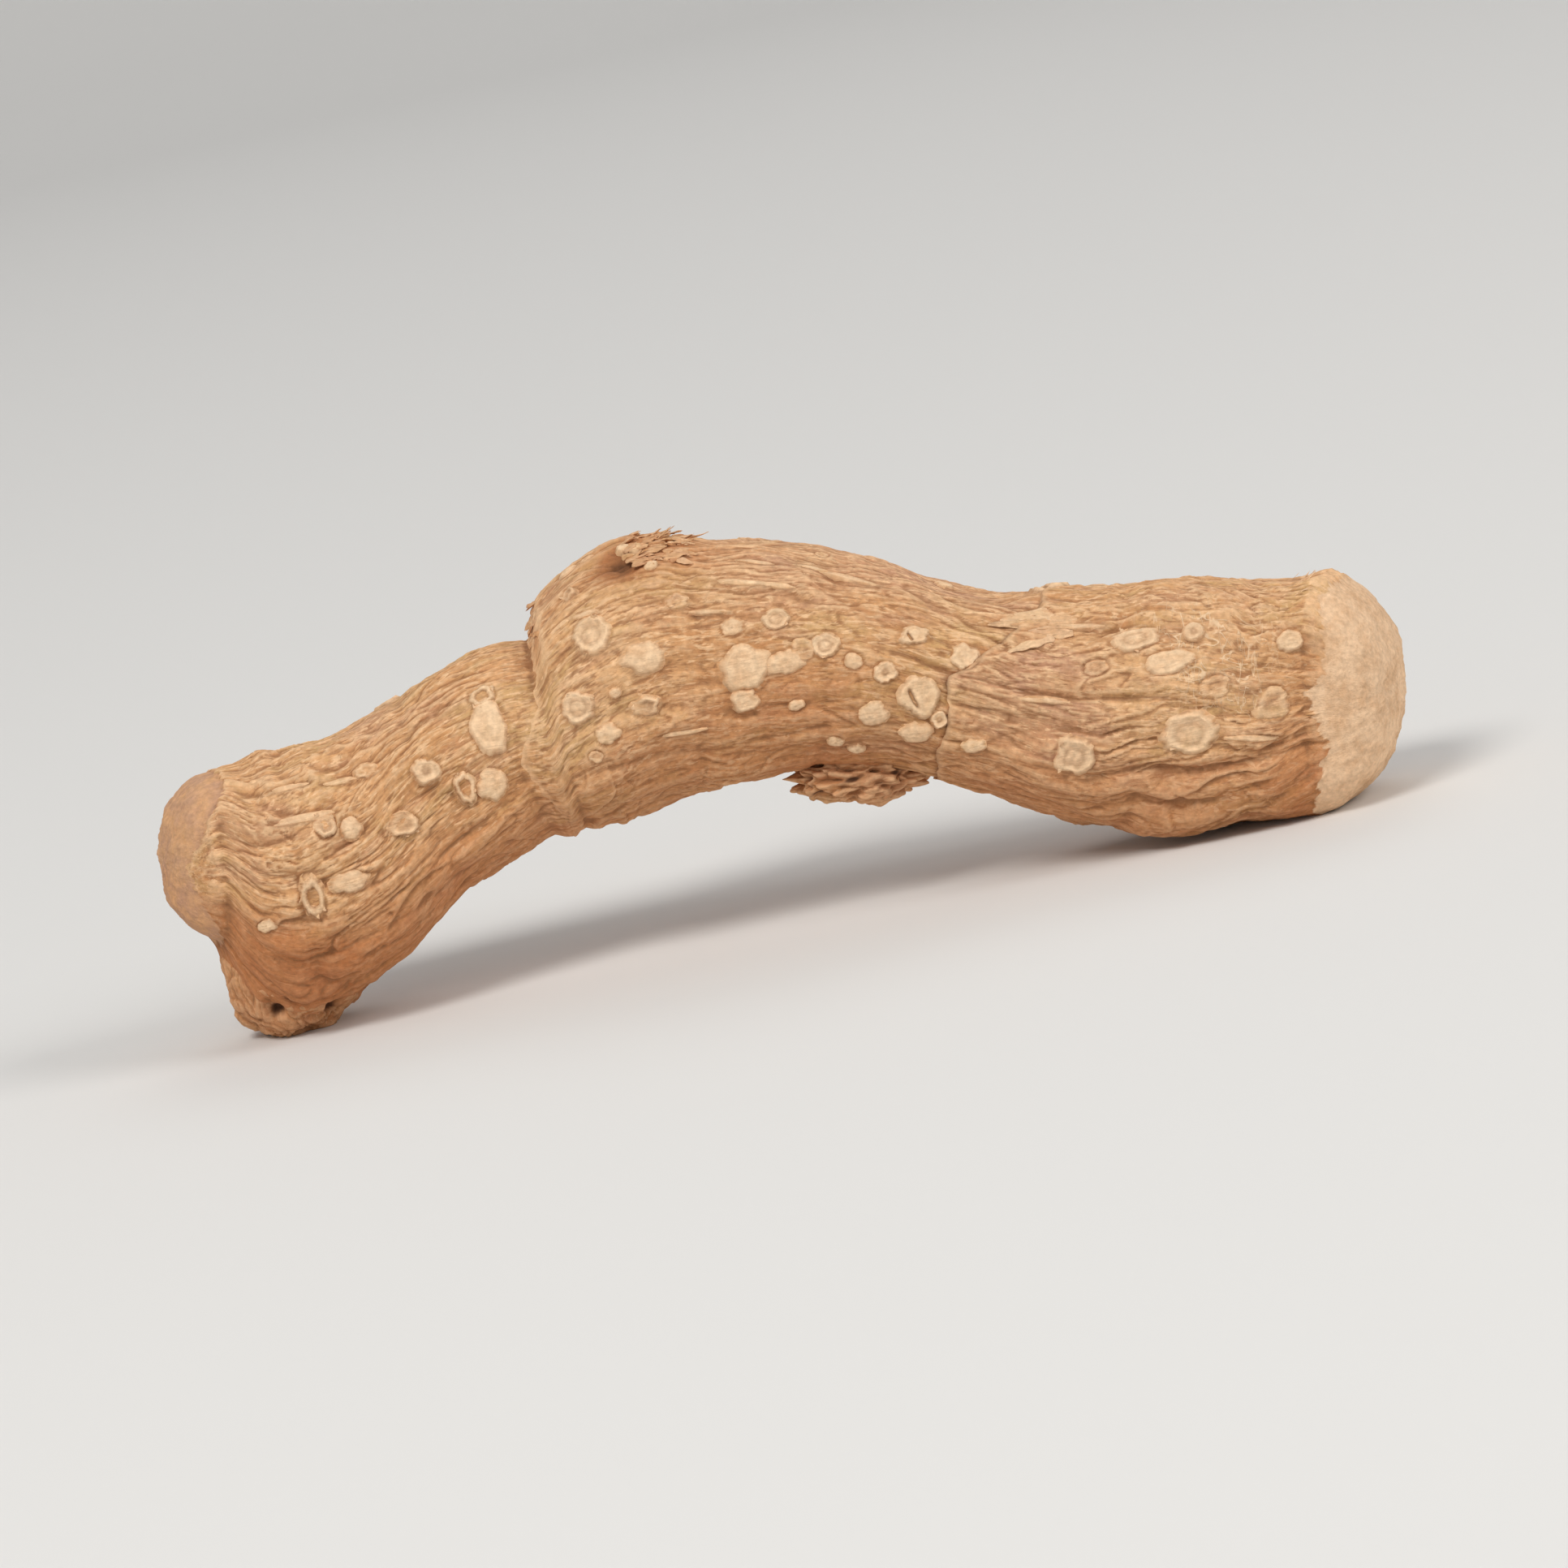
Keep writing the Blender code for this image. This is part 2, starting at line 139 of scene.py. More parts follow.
def applyAll(piece):
    deselectAll()
    piece.select_set(True)
    bpy.context.view_layer.objects.active = piece
    for modifier in list(piece.modifiers):
        bpy.ops.object.modifier_apply(modifier=modifier.name)
    bpy.ops.object.transform_apply(location=True, rotation=True, scale=True)


def readPoints(piece):
    flat = np.empty(len(piece.data.vertices) * 3)
    piece.data.vertices.foreach_get("co", flat)
    return flat.reshape(-1, 3)


def writePoints(piece, points):
    piece.data.vertices.foreach_set("co", np.asarray(points, float).ravel())
    piece.data.update()


def setAttribute(piece, name, values):
    kind = "FLOAT_VECTOR" if np.ndim(values) == 2 else "FLOAT"
    layer = piece.data.attributes.get(name) or piece.data.attributes.new(name, kind, "POINT")
    layer.data.foreach_set("vector" if kind == "FLOAT_VECTOR" else "value",
                           np.asarray(values, np.float32).ravel())


def smoothShade(piece):
    piece.data.polygons.foreach_set("use_smooth", [True] * len(piece.data.polygons))
    piece.data.update()


def startEditing():
    bpy.ops.object.mode_set(mode="EDIT")
    bpy.ops.mesh.select_all(action="SELECT")


def extrudeRing(move, share, centre):
    # draws the selected ring out by move, then scales it by share about centre
    bpy.ops.mesh.extrude_region_move(TRANSFORM_OT_translate={"value": move})
    bpy.ops.transform.resize(value=share, center_override=centre)


def selectBelow(piece, axis, limit):
    # selects only the points that lie below limit on an axis
    bpy.ops.mesh.select_all(action="DESELECT")
    bpy.ops.object.mode_set(mode="OBJECT")
    for v in piece.data.vertices:
        v.select = bool(v.co[axis] < limit)
    bpy.ops.object.mode_set(mode="EDIT")


def finishEditing(piece, levels, kind="SIMPLE"):
    # turns every face outward, then divides the mesh finer
    bpy.ops.mesh.select_all(action="SELECT")
    bpy.ops.mesh.normals_make_consistent(inside=False)
    bpy.ops.object.mode_set(mode="OBJECT")
    finer = piece.modifiers.new("finer", "SUBSURF")
    finer.subdivision_type = kind
    finer.levels = finer.render_levels = levels
    applyAll(piece)
    return piece


def copyOf(blank):
    piece = blank.copy()
    piece.data = blank.data.copy()
    bpy.context.scene.collection.objects.link(piece)
    return piece


def joinAll(parts, name, layers):
    # joins the parts into one piece, with layers that hold a list of values for each part
    deselectAll()
    for part in parts:
        part.select_set(True)
    bpy.context.view_layer.objects.active = parts[0]
    bpy.ops.object.join()
    piece = renameActive(name)
    for layer, values in layers.items():
        setAttribute(piece, layer, np.concatenate(values))
    return piece


# Relief of the skin that the frame has too, in mm: furrows, lumps, collars and leaf rings.
# A collar: place, bow at the front, sweep at the top, step, step at the top, step below, fade.
skinRelief = {
    "furrowDepth": 0.85,
    "lumpHeight": 0.45,
    "creaseDepth": 0.55,
    "collars": ((-17.0, -2.4, 0.0, 0.0, 0.36, 0.12, 5.0), (13.6, 0.0, 7.2, 0.16, 0.28, 0.16, 9.0)),
    "swellPlace": -17.3,
    "swellReach": 3.6,
    "swellSoftness": 1.6,
    "leafRings": ((-38.5, 0.22), (-27.0, 0.20), (-5.0, 0.16), (5.5, 0.14), (26.5, 0.20),
                  (36.5, 0.16)),
    "grit": 0.040,
}

# Layers of the fine relief: height in mm, size along and round in mm, offset in the noise, then
# its steps and the share of a step that its edge takes, or how narrow its lines are.
fineRelief = {
    "flakes": (0.26, (9, 2.3, 2.3), (0.3, 0.9, 3.1), 2.4, 0.20),
    "chips": (0.17, (3.4, 0.95, 0.95), (5.3, 2.9, 0.1), 2.2, 0.28),
    "folds": (0.42, (2.9, 3.6, 3.6), (2.3, 6.1, 4.4), 2.6, 0.14),
    "lines": (0.22, (6.5, 1.4, 1.4), (1.3, 4.9, 2.2), 5.0),
    "hairLines": (0.060, (3.4, 0.6, 0.6), (6.3, 4.1, 7.2), 4.0),
    "swells": (0.22, (4.2, 1.5, 1.5), (2, 6, 4)),
}

# Soft spots on the skin: strength, place along X, reach, angle from the front, reach round it.
skinSpots = {
    "calm": ((1.0, 0, 13, 0.15, 0.62), (0.6, -20, 6, 0.2, 0.8), (0.5, 36, 8, 0.6, 0.6)),
    "rough": ((0.55, -37, 8, 0.6, 0.9), (0.35, -31, 9, -0.8, 0.5), (0.60, 30, 11, -0.75, 0.45),
              (0.45, 19, 6, 0.3, 1.0)),
    "furrowed": ((0.28, -38, 6, 0.6, 0.6),),
    "hem": ((1.0, -14.5, 3.0, -1.05, 0.42),),
    "hollow": ((1.0, -9.5, 1.5, 1.14, 0.16),),
    "torn": ((1.0, -7.2, 3.6, 1.30, 0.40), (1.0, 5.5, 5.5, -1.45, 0.5)),
    "redMiddle": ((0.55, 3, 7, -0.15, 0.35),),
    "crackle": ((1.3, 33, 5, 0.85, 0.30), (1.3, 35, 4, 0.35, 0.30)),
    "mauve": ((0.9, 0.5, 4, 0.8, 0.3),),
    "mauveRight": ((1.0, 19, 6, 0.1, 0.7),),
    "strawMiddle": ((0.8, -12, 5, 0.2, 0.8),),
    "strawRight": ((1.0, 30, 13, 0.2, 0.8),),
}


def spotSum(name, along, angle):
    total = np.zeros(len(along))
    for strength, place, reach, turn, width in skinSpots[name]:
        total += strength * hump(along - place, reach) * hump(angle - turn, width)
    return total


def wayAround(along, cosA, sinA, length, turns):
    return np.stack((along / length, turns * cosA, turns * sinA), axis=1)


def ringNoise(place, turns, cosA, sinA):
    # noise that runs round the root at one place
    return noiseAt(wayAround(np.full_like(cosA, place), cosA, sinA, 1, turns))


def mainFurrows(along, cosA, sinA):
    way = wayAround(along, cosA, sinA, 13, 2.7)
    way[:, 1] += 0.5 * noiseAt(way * 0.6, (9.1, 0, 0))
    furrow = 1 - np.minimum(np.abs(noiseAt(way)) * 3.2, 1)
    fine = 1 - np.minimum(np.abs(noiseAt(way * 1.5, (0, 5.3, 0))) * 3.0, 1)
    underneath = np.maximum(-sinA, 0)
    strength = 0.35 + 0.35 * underneath + 0.40 * hump(along + 42, 12) + 0.30 * hump(along - 30, 14)
    strength += spotSum("furrowed", along, np.arctan2(sinA, cosA))
    return skinRelief["furrowDepth"] * strength * (0.35 - 0.75 * furrow - 0.3 * fine)


def lumps(along, cosA, sinA):
    # slow swellings a few mm across
    way = wayAround(along, cosA, sinA, 7, 1.6)
    return skinRelief["lumpHeight"] * noiseAt(way, (3.7, 1.1, 0))


def collarBow(cosA, sinA):
    # a collar bows along the root at its front, most just below the middle
    return hump(sinA + 0.15, 0.5) * np.sqrt(np.maximum(cosA, 0))


def collarLine(number, cosA, sinA):
    # where a collar's ragged edge lies along the root, all round
    place, bow, sweep = skinRelief["collars"][number][:3]
    ragged = 0.6 * ringNoise(place, 2.2, cosA, sinA)
    ragged += 0.45 * ringNoise(place + 5, 6, cosA, sinA)
    ragged += 0.14 * ringNoise(place + 9, 21, cosA, sinA)
    rise = np.clip((sinA - 0.05) / 0.95, 0, 1) ** 1.5
    return place + bow * collarBow(cosA, sinA) + sweep * rise + ragged


def collarStep(number, cosA, sinA):
    step, top, below = skinRelief["collars"][number][3:6]
    uneven = 1 + 0.9 * ringNoise(number * 7.0, 3.6, cosA, sinA)
    even = step + (top - step) * smoothStep(0.35, 0.85, sinA)
    return (even + (below - step) * smoothStep(-0.45, -0.85, sinA)) * uneven


def collarRise(number, along, cosA, sinA, lines):
    # the newer length stands proud of the older one, which dips a little to meet it
    past = along - lines[number]
    step = collarStep(number, cosA, sinA)
    fade = skinRelief["collars"][number][6]
    rise = step * np.exp(-np.maximum(past, 0) / fade)
    dip = -0.45 * step * np.exp(np.minimum(past, 0) / 1.1)
    return past, rise, dip


def leafRingGrooves(along, cosA, sinA):
    groove = np.zeros_like(along)
    for place, depth in skinRelief["leafRings"]:
        wander = 1.2 * ringNoise(place, 1.5, cosA, sinA)
        groove -= depth * hump(along - place - wander, 0.7)
    return groove


def lowerCrease(along, cosA, sinA):
    # two deep creases along the lower front of the right length
    flat = np.zeros_like(along)
    line = -0.45 + 0.25 * noiseAt(np.stack((along / 9, flat, flat + 5), axis=1))
    angle = np.arctan2(sinA, cosA)
    crease = hump(angle - line, 0.07) + 0.6 * hump(angle - line * 1.2 + 0.22, 0.06)
    return -skinRelief["creaseDepth"] * hump(along - 31, 8) * crease


def ridged(way, offset, width):
    # sharp valleys between rounded ridges, from 0 in a valley to 1 on a ridge
    return np.minimum(np.abs(noiseAt(way, offset)) * width, 1) ** 0.7


def sawFlakes(way, offset, steps, edge):
    # plates that slope gently and drop off along a sharp, wandering edge
    level = noiseAt(way, offset) * steps
    part = level - np.floor(level)
    return smoothStep(0, edge, part) - part


def calmness(along, angle):
    # how smooth the skin lies: most on the front and top of the middle length
    neck = 0.8 * hump(along + 18.5, 2.6)
    return np.clip(spotSum("calm", along, angle) + neck, 0, 1)


def roughness(along, angle):
    knob = 0.9 * hump(along + 41, 5) * smoothStep(0.0, -0.5, np.sin(angle))
    return 1 - 0.62 * calmness(along, angle) + spotSum("rough", along, angle) + knob


def flakeLayer(name, way):
    height, size, offset, steps, edge = fineRelief[name]
    return height * sawFlakes(way / size, offset, steps, edge)


def lineLayer(name, way):
    height, size, offset, width = fineRelief[name]
    return height * (ridged(way / size, offset, width) - 1.0)


def fineWrinkles(along, cosA, sinA):
    # flakes, chips and lines follow a grain that bends a little, and come and go in patches
    angle = np.arctan2(sinA, cosA)
    grain = wayAround(along, cosA, sinA, 1, grainRadius)
    bent = grain.copy()
    wiggle = grain / (2.6, 1.4, 1.4)
    bent[:, 1] += 1.7 * noiseAt(grain / 9, (2.1, 0, 0)) + 0.3 * noiseAt(wiggle)
    bent[:, 2] += 1.7 * noiseAt(grain / 9, (0, 7.7, 0)) + 0.3 * noiseAt(wiggle, (4, 4, 0))
    rough = roughness(along, angle)
    patchy = np.clip(0.55 + 1.2 * noiseAt(grain / 5, (4.4, 1, 2)), 0.08, 1.1)
    other = np.clip(0.55 + 1.2 * noiseAt(grain / 4, (9.4, 3, 2)), 0.10, 1.1)
    dashes = smoothStep(0.0, 0.32, noiseAt(bent / (2.9, 1.5, 1.5), (7, 2, 5)))
    dots = smoothStep(-0.12, 0.20, noiseAt(bent / (1.8, 0.9, 0.9), (1, 9, 5)))
    swellHeight, swellSize, swellOffset = fineRelief["swells"]
    grit = noiseAt(grain / 0.9, (8, 8, 8)) + 0.7 * noiseAt(grain / 0.45, (3, 8, 8))
    values = rough * patchy * flakeLayer("flakes", bent)
    values += (0.3 + 0.7 * rough * other) * dots * flakeLayer("chips", bent)
    values += (0.45 + 0.55 * rough) * (0.12 + 0.88 * dashes) * lineLayer("lines", bent)
    values += (0.15 + 0.85 * dots) * lineLayer("hairLines", bent)
    values += swellHeight * (0.4 + 0.6 * rough) * noiseAt(bent / swellSize, swellOffset)
    pastCollar = along > skinRelief["collars"][0][0]
    values += spotSum("hem", along, angle) * pastCollar * flakeLayer("folds", grain)
    return values + skinRelief["grit"] * grit


def highRelief(along, cosA, sinA):
    values = mainFurrows(along, cosA, sinA) + leafRingGrooves(along, cosA, sinA)
    return values + lowerCrease(along, cosA, sinA) + fineWrinkles(along, cosA, sinA)


def formPoints(along, cosA, sinA, relief):
    # points on the root's skin in mm, with relief added to the section's radius
    section = sectionAt(along)
    shift = -skinRelief["collars"][0][1] * collarBow(cosA, sinA)
    beside = along + shift * hump(along - skinRelief["swellPlace"], skinRelief["swellReach"])
    soft = skinRelief["swellSoftness"] * smoothStep(0.75, 0.25, sinA) * hump(along + 17, 4)
    swell = (sectionAt(beside - soft) + sectionAt(beside) + sectionAt(beside + soft)) / 3
    lean, turn = np.radians(section[:, leanAt]), np.radians(section[:, turnAt])
    depth = np.where(cosA > 0, swell[:, frontAt], swell[:, behindAt])
    power = np.where(sinA > 0, rootForm["topPower"], rootForm["undersidePower"])
    radius = (np.abs(cosA / depth) ** power
              + np.abs(sinA / (swell[:, heightAt] / 2)) ** power) ** (-1 / power)
    radius = (radius + relief)[:, None]
    zero = np.zeros_like(lean)
    up = np.stack((-np.sin(lean), zero, np.cos(lean)), axis=1)
    front = np.stack((-np.sin(turn), -np.cos(turn), zero), axis=1)
    middle = section[:, (alongAt, asideAt, upAt)]
    return middle + up * radius * sinA[:, None] + front * radius * cosA[:, None]


def settle(points):
    # the two lowest places are worn flat, as the frame's are
    points = np.array(points)
    points[:, 2] = np.maximum(points[:, 2] - rootForm["restDepth"], 0)
    return points


# The stubs of two side shoots, in mm: place, radii, pits as direction, reach and depth, fillet.
sideShoots = {
    "leftShoot": {
        "place": (-41.0, -0.3, 4.75),
        "radii": (4.6, 5.2, 5.2),
        "pits": ((-0.28, -0.91, -0.30, 0.15, 0.26), (0.61, -0.66, -0.43, 0.17, 0.26),
                 (0.06, -0.99, -0.06, 0.12, 0.12)),
        "fillet": 2.6,
        "rough": 0.9,
        "knobbly": 0.05,
        "slope": 0.0,
        "red": 0.62,
        "seed": 0,
    },
    "brokenShoot": {
        "place": (5.5, -1.4, 10.7),
        "radii": (5.0, 3.7, 1.75),
        "pits": ((-0.1, -0.9, 0.15, 0.20, 0.10), (0.6, -0.75, 0.0, 0.18, 0.10),
                 (-0.65, -0.75, -0.2, 0.16, 0.08)),
        "fillet": 0.0,
        "rough": 1.2,
        "knobbly": 0.24,
        "slope": -0.14,
        "red": 0.45,
        "seed": 30,
    },
}
pitDepth = 4.5  # mm for a pit of depth 1


def shootDistance(points, shoot):
    # how far points lie outside a shoot's plain egg shape, and the way out of it
    away = (points - shoot["place"]) / shoot["radii"]
    reach = np.maximum(np.linalg.norm(away, axis=1), 1e-6)
    slope = away / shoot["radii"]
    steep = np.linalg.norm(slope, axis=1)
    return (reach - 1) * reach / steep, slope / steep[:, None]


def shootPits(points, shoot):
    # a shoot's pits at points near its surface: their push inwards in mm, and the painted shade in
    # them
    way = (points - shoot["place"]) / shoot["radii"]
    way /= np.maximum(np.linalg.norm(way, axis=1), 1e-6)[:, None]
    near = smoothStep(2.4, 1.2, np.abs(shootDistance(points, shoot)[0]))
    push, paintedShade = np.zeros(len(points)), np.zeros(len(points))
    for x, y, z, reach, depth in shoot["pits"]:
        pit = near * hump(np.linalg.norm(way - (x, y, z), axis=1) + 0.1 * noiseAt(way * 6), reach)
        push += depth * pitDepth * pit
        paintedShade = np.maximum(paintedShade, 0.9 * smoothStep(0.3, 0.8, pit))
    return way * push[:, None], paintedShade


def skinDistance(points):
    # how far points lie outside the smooth skin, and the way out of it
    far, way = np.empty(len(points)), np.empty((len(points), 3))
    for k, point in enumerate(points.tolist()):
        near, normal, _, _ = baseSkin.find_nearest(Vector(point))
        far[k], way[k] = (Vector(point) - near).dot(normal), normal
    return far, way


def joinSmoothly(points, shoot, fromSkin):
    # moves points out to the rounded union of the skin and a shoot, where the two meet
    reach = shoot["fillet"]
    moved = points.copy()
    near = np.nonzero(np.abs(shootDistance(points, shoot)[0]) < reach * 1.3)[0]
    spots = points[near]
    weight = None
    for _ in range(4):
        fromShoot, shootWay = shootDistance(spots, shoot)
        fromBody, bodyWay = skinDistance(spots)
        if weight is None:
            inner = fromShoot if fromSkin else fromBody
            weight = smoothStep(-0.55 * reach, -0.12 * reach, inner)[:, None]
            start = spots.copy()
        soft = np.clip(1 - np.abs(fromShoot - fromBody) / reach, 0, 1)
        height = np.minimum(fromShoot, fromBody) - reach / 4 * soft**2
        share = np.clip(0.5 + 0.5 * (fromBody - fromShoot) / reach, 0, 1)[:, None]
        way = share * shootWay + (1 - share) * bodyWay
        way /= np.maximum(np.linalg.norm(way, axis=1), 1e-6)[:, None]
        spots = spots - way * height[:, None]
    moved[near] = start + (spots - start) * weight
    return moved


# The skin is three tubes, one for each length of growth: its sides and segments before subdivision,
# the hidden tuck under the next length, and the rings of a cut face or of a hidden end.
growthTubes = {
    "names": ("leftLength", "middleLength", "rightLength"),
    "sides": 46,
    "segments": (24, 26, 25),
    "faceRings": 4,
    "hiddenRings": 1,
    "levels": 3,
    "tuck": 1.3,
    "tuckDepth": 0.30,
    "hiddenBulge": 0.6,
    "hollowDepth": 0.9,
    "cutDepth": 0.20,
    "hemPress": 0.45,
}


def addTube(name, segments, startRings, endRings):
    # a straight tube along X with a segment in each unit and closed ends, made ring by ring
    deselectAll()
    sides, radius = growthTubes["sides"], 0.001
    bpy.ops.mesh.primitive_circle_add(vertices=sides, radius=0.01, location=(-startRings, 0, 0),
                                      rotation=(0, math.pi / 2, 0))
    piece = renameActive(name)
    bpy.ops.object.transform_apply(location=True, rotation=True, scale=True)
    startEditing()
    radii = [k / startRings for k in range(1, startRings + 1)] + [1.0] * segments
    radii += [max(1 - k / endRings, radius) for k in range(1, endRings + 1)]
    for number, nextRadius in enumerate(radii):
        share = nextRadius / radius
        extrudeRing((1, 0, 0), (1, share, share), (number + 1 - startRings, 0, 0))
        radius = nextRadius
    bpy.ops.mesh.merge(type="CENTER")
    selectBelow(piece, 0, 0.01 - startRings)
    bpy.ops.mesh.merge(type="CENTER")
    return finishEditing(piece, growthTubes["levels"])


def markRimsSharp(piece, places, ends):
    # the edge where a hidden end is drawn in is shaded as a sharp one
    edges = np.empty(len(piece.data.edges) * 2, np.int64)
    piece.data.edges.foreach_get("vertices", edges)
    first, second = places[edges[0::2]], places[edges[1::2]]
    sharp = np.zeros(len(first), bool)
    for end in ends:
        sharp |= (np.abs(first - end) < 1e-4) & (np.abs(second - end) < 1e-4)
    piece.data.edges.foreach_set("use_edge_sharp", sharp)


def domeFace(points, face, rim, share, end, side, dome):
    # draws a cut end in to a shallow dome, a little uneven as a dried cut is
    middle = points[rim].mean(axis=0)
    up, front = sectionAxes(sectionAt(np.array([end]))[0])
    normal = np.array(up.cross(front).normalized()) * side
    q = share[face][:, None]
    flat = middle + (points[face] - middle) * q
    rise = dome * (1 - q**3) ** 0.8
    soft = smoothStep(1.0, 0.9, share[face])
    uneven = (0.26 * noiseAt(flat * 0.45) + 0.16 * noiseAt(flat * 1.1, (5, 0, 0))
              + 0.09 * noiseAt(flat * 2.6, (0, 5, 0)) + 0.06 * noiseAt(flat * 5.5)) * soft
    points[face] = flat + normal * (rise + uneven[:, None])


def neighbourMean(values, edges, counts):
    # each point's mean over the points it shares an edge with
    total = np.empty_like(values)
    for k in range(values.shape[1]):
        total[:, k] = (np.bincount(edges[:, 0], values[edges[:, 1], k], len(values))
                       + np.bincount(edges[:, 1], values[edges[:, 0], k], len(values)))
    return total / counts[:, None]


def markCavities(piece, scales):
    # names each scale's height over the smoothed surface: rounds of smoothing, then mm for 1. The
    # bark material paints highlights where it stands proud and shade where it lies low.
    mesh = piece.data
    edges = np.empty(len(mesh.edges) * 2, np.int64)
    mesh.edges.foreach_get("vertices", edges)
    edges = edges.reshape(-1, 2)
    counts = np.maximum(np.bincount(edges.ravel(), minlength=len(mesh.vertices)), 1)
    normals = np.empty(len(mesh.vertices) * 3)
    mesh.vertex_normals.foreach_get("vector", normals)
    normals = normals.reshape(-1, 3)
    points = readPoints(piece)
    smooth = points.copy()
    done = 0
    for name, rounds, reach in scales:
        for _ in range(rounds - done):
            smooth = 0.5 * smooth + 0.5 * neighbourMean(smooth, edges, counts)
        done = rounds
        height = ((points - smooth) * normals).sum(axis=1) / (reach * mm)
        setAttribute(piece, name, np.clip(height, -1, 1))


def finishPiece(piece, scales):
    markCavities(piece, scales)
    smoothShade(piece)
    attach(piece, "root")
    return piece


# Root scars on the front, in mm: place along X, place up, half its width, half its height, kind.
scarSet = {
    "front": (
        (-21.3, 20.2, 1.30, 1.90, "disc"), (-21.4, 22.7, 0.95, 0.80, "hole"),
        (-26.7, 18.0, 0.95, 0.95, "ring"), (-24.1, 16.1, 0.75, 1.25, "torn"),
        (-22.0, 15.9, 1.05, 1.10, "blob"), (-29.3, 14.3, 1.15, 0.80, "flake"),
        (-33.3, 14.9, 0.80, 0.80, "blob"), (-35.1, 15.5, 0.80, 0.95, "flake"),
        (-37.2, 10.3, 0.80, 1.60, "torn"), (-34.2, 10.8, 1.35, 0.80, "blob"),
        (-41.2, 8.9, 0.70, 0.50, "dot"), (-12.1, 25.4, 1.35, 1.25, "plate"),
        (-8.6, 23.0, 1.55, 1.15, "blob"), (-1.5, 23.7, 0.85, 0.65, "dot"),
        (1.9, 23.6, 0.90, 0.70, "plate"), (-1.1, 20.4, 1.70, 1.70, "disc"),
        (1.7, 20.2, 1.60, 0.85, "blob"), (-1.7, 18.0, 0.95, 0.85, "disc"),
        (5.1, 20.8, 1.00, 0.80, "plate"), (3.4, 20.9, 0.95, 0.80, "faint"),
        (9.2, 17.8, 0.78, 0.78, "ring"), (12.0, 20.1, 1.05, 0.65, "slit"),
        (11.4, 15.4, 1.40, 1.40, "slit"), (12.5, 13.3, 0.60, 0.60, "ring"),
        (7.6, 14.8, 1.05, 0.85, "blob"), (15.4, 17.6, 0.95, 0.90, "disc"),
        (-14.3, 20.3, 1.15, 1.15, "plate"), (-9.2, 19.2, 1.05, 0.70, "flake"),
        (-12.5, 17.7, 0.85, 0.75, "blob"), (-13.2, 29.0, 0.65, 0.55, "flake"),
        (22.0, 8.3, 1.45, 1.30, "plate"), (28.4, 16.1, 1.70, 0.90, "plate"),
        (30.7, 13.8, 1.75, 0.85, "disc"), (40.0, 13.4, 0.95, 0.70, "disc"),
        (30.9, 8.1, 1.90, 1.35, "plate"), (37.6, 8.9, 1.30, 1.25, "faint"),
        (25.0, 14.6, 0.90, 0.60, "faint"), (33.6, 11.2, 1.10, 0.80, "faint"),
        (-31.3, 19.0, 0.80, 0.60, "faint"), (-5.2, 26.6, 0.80, 0.55, "faint"),
        (14.6, 10.7, 0.80, 0.55, "blob"), (4.4, 13.4, 0.55, 0.50, "dot"),
        (0.1, 27.0, 1.90, 0.26, "sliver"), (2.6, 26.2, 1.30, 0.24, "sliver"),
        (8.2, 25.5, 2.10, 0.30, "sliver"), (1.2, 28.4, 1.50, 0.22, "sliver"),
        (-3.0, 25.3, 1.20, 0.22, "sliver"), (-12.2, 27.2, 0.90, 0.24, "sliver"),
        (5.6, 26.9, 1.20, 0.20, "sliver"), (-7.0, 16.6, 1.60, 0.22, "sliver"),
        (-37.2, 19.0, 1.50, 0.26, "sliver"), (-33.4, 18.6, 1.20, 0.24, "sliver"),
        (-36.6, 16.4, 2.30, 0.30, "sliver"), (24.6, 18.0, 1.80, 0.26, "sliver"),
        (20.6, 13.0, 1.60, 0.24, "sliver"), (35.8, 6.6, 1.90, 0.28, "sliver"),
    ),
    "sightTilt": 10,
    "hiddenSeed": 11,
    "hiddenBack": 13,
    "hiddenTop": 4,
    "hiddenAlong": (-38, 39),
    "hiddenUp": (-5, 6),
    "hiddenAside": (1, 6),
    "hiddenRadius": (0.9, 1.7),
    "hiddenGap": 1.2,
    "keptClear": ((-17, 2.6), (16, 3.5)),
    "smallSeed": 23,
    "smallOnes": 34,
    "smallAlong": ((-40, 40), (-15, 16)),
    "smallRadius": (0.35, 0.75),
    "smallKinds": ("dot", "faint", "ring", "blob", "faint"),
    "smallGap": 0.5,
    "rings": (1.12, 0.95, 0.80, 0.60, 0.40, 0.20, 0.01),
    "wobble": ((1, 0.28), (2.6, 0.10), (8, 0.04)),
    "proud": 0.06,
    "gashDepth": 0.40,
    "sides": 10,
    "levels": 2,
    "smallLevels": 1,
    "skirt": 1.35,
    "height": 1.0,
}
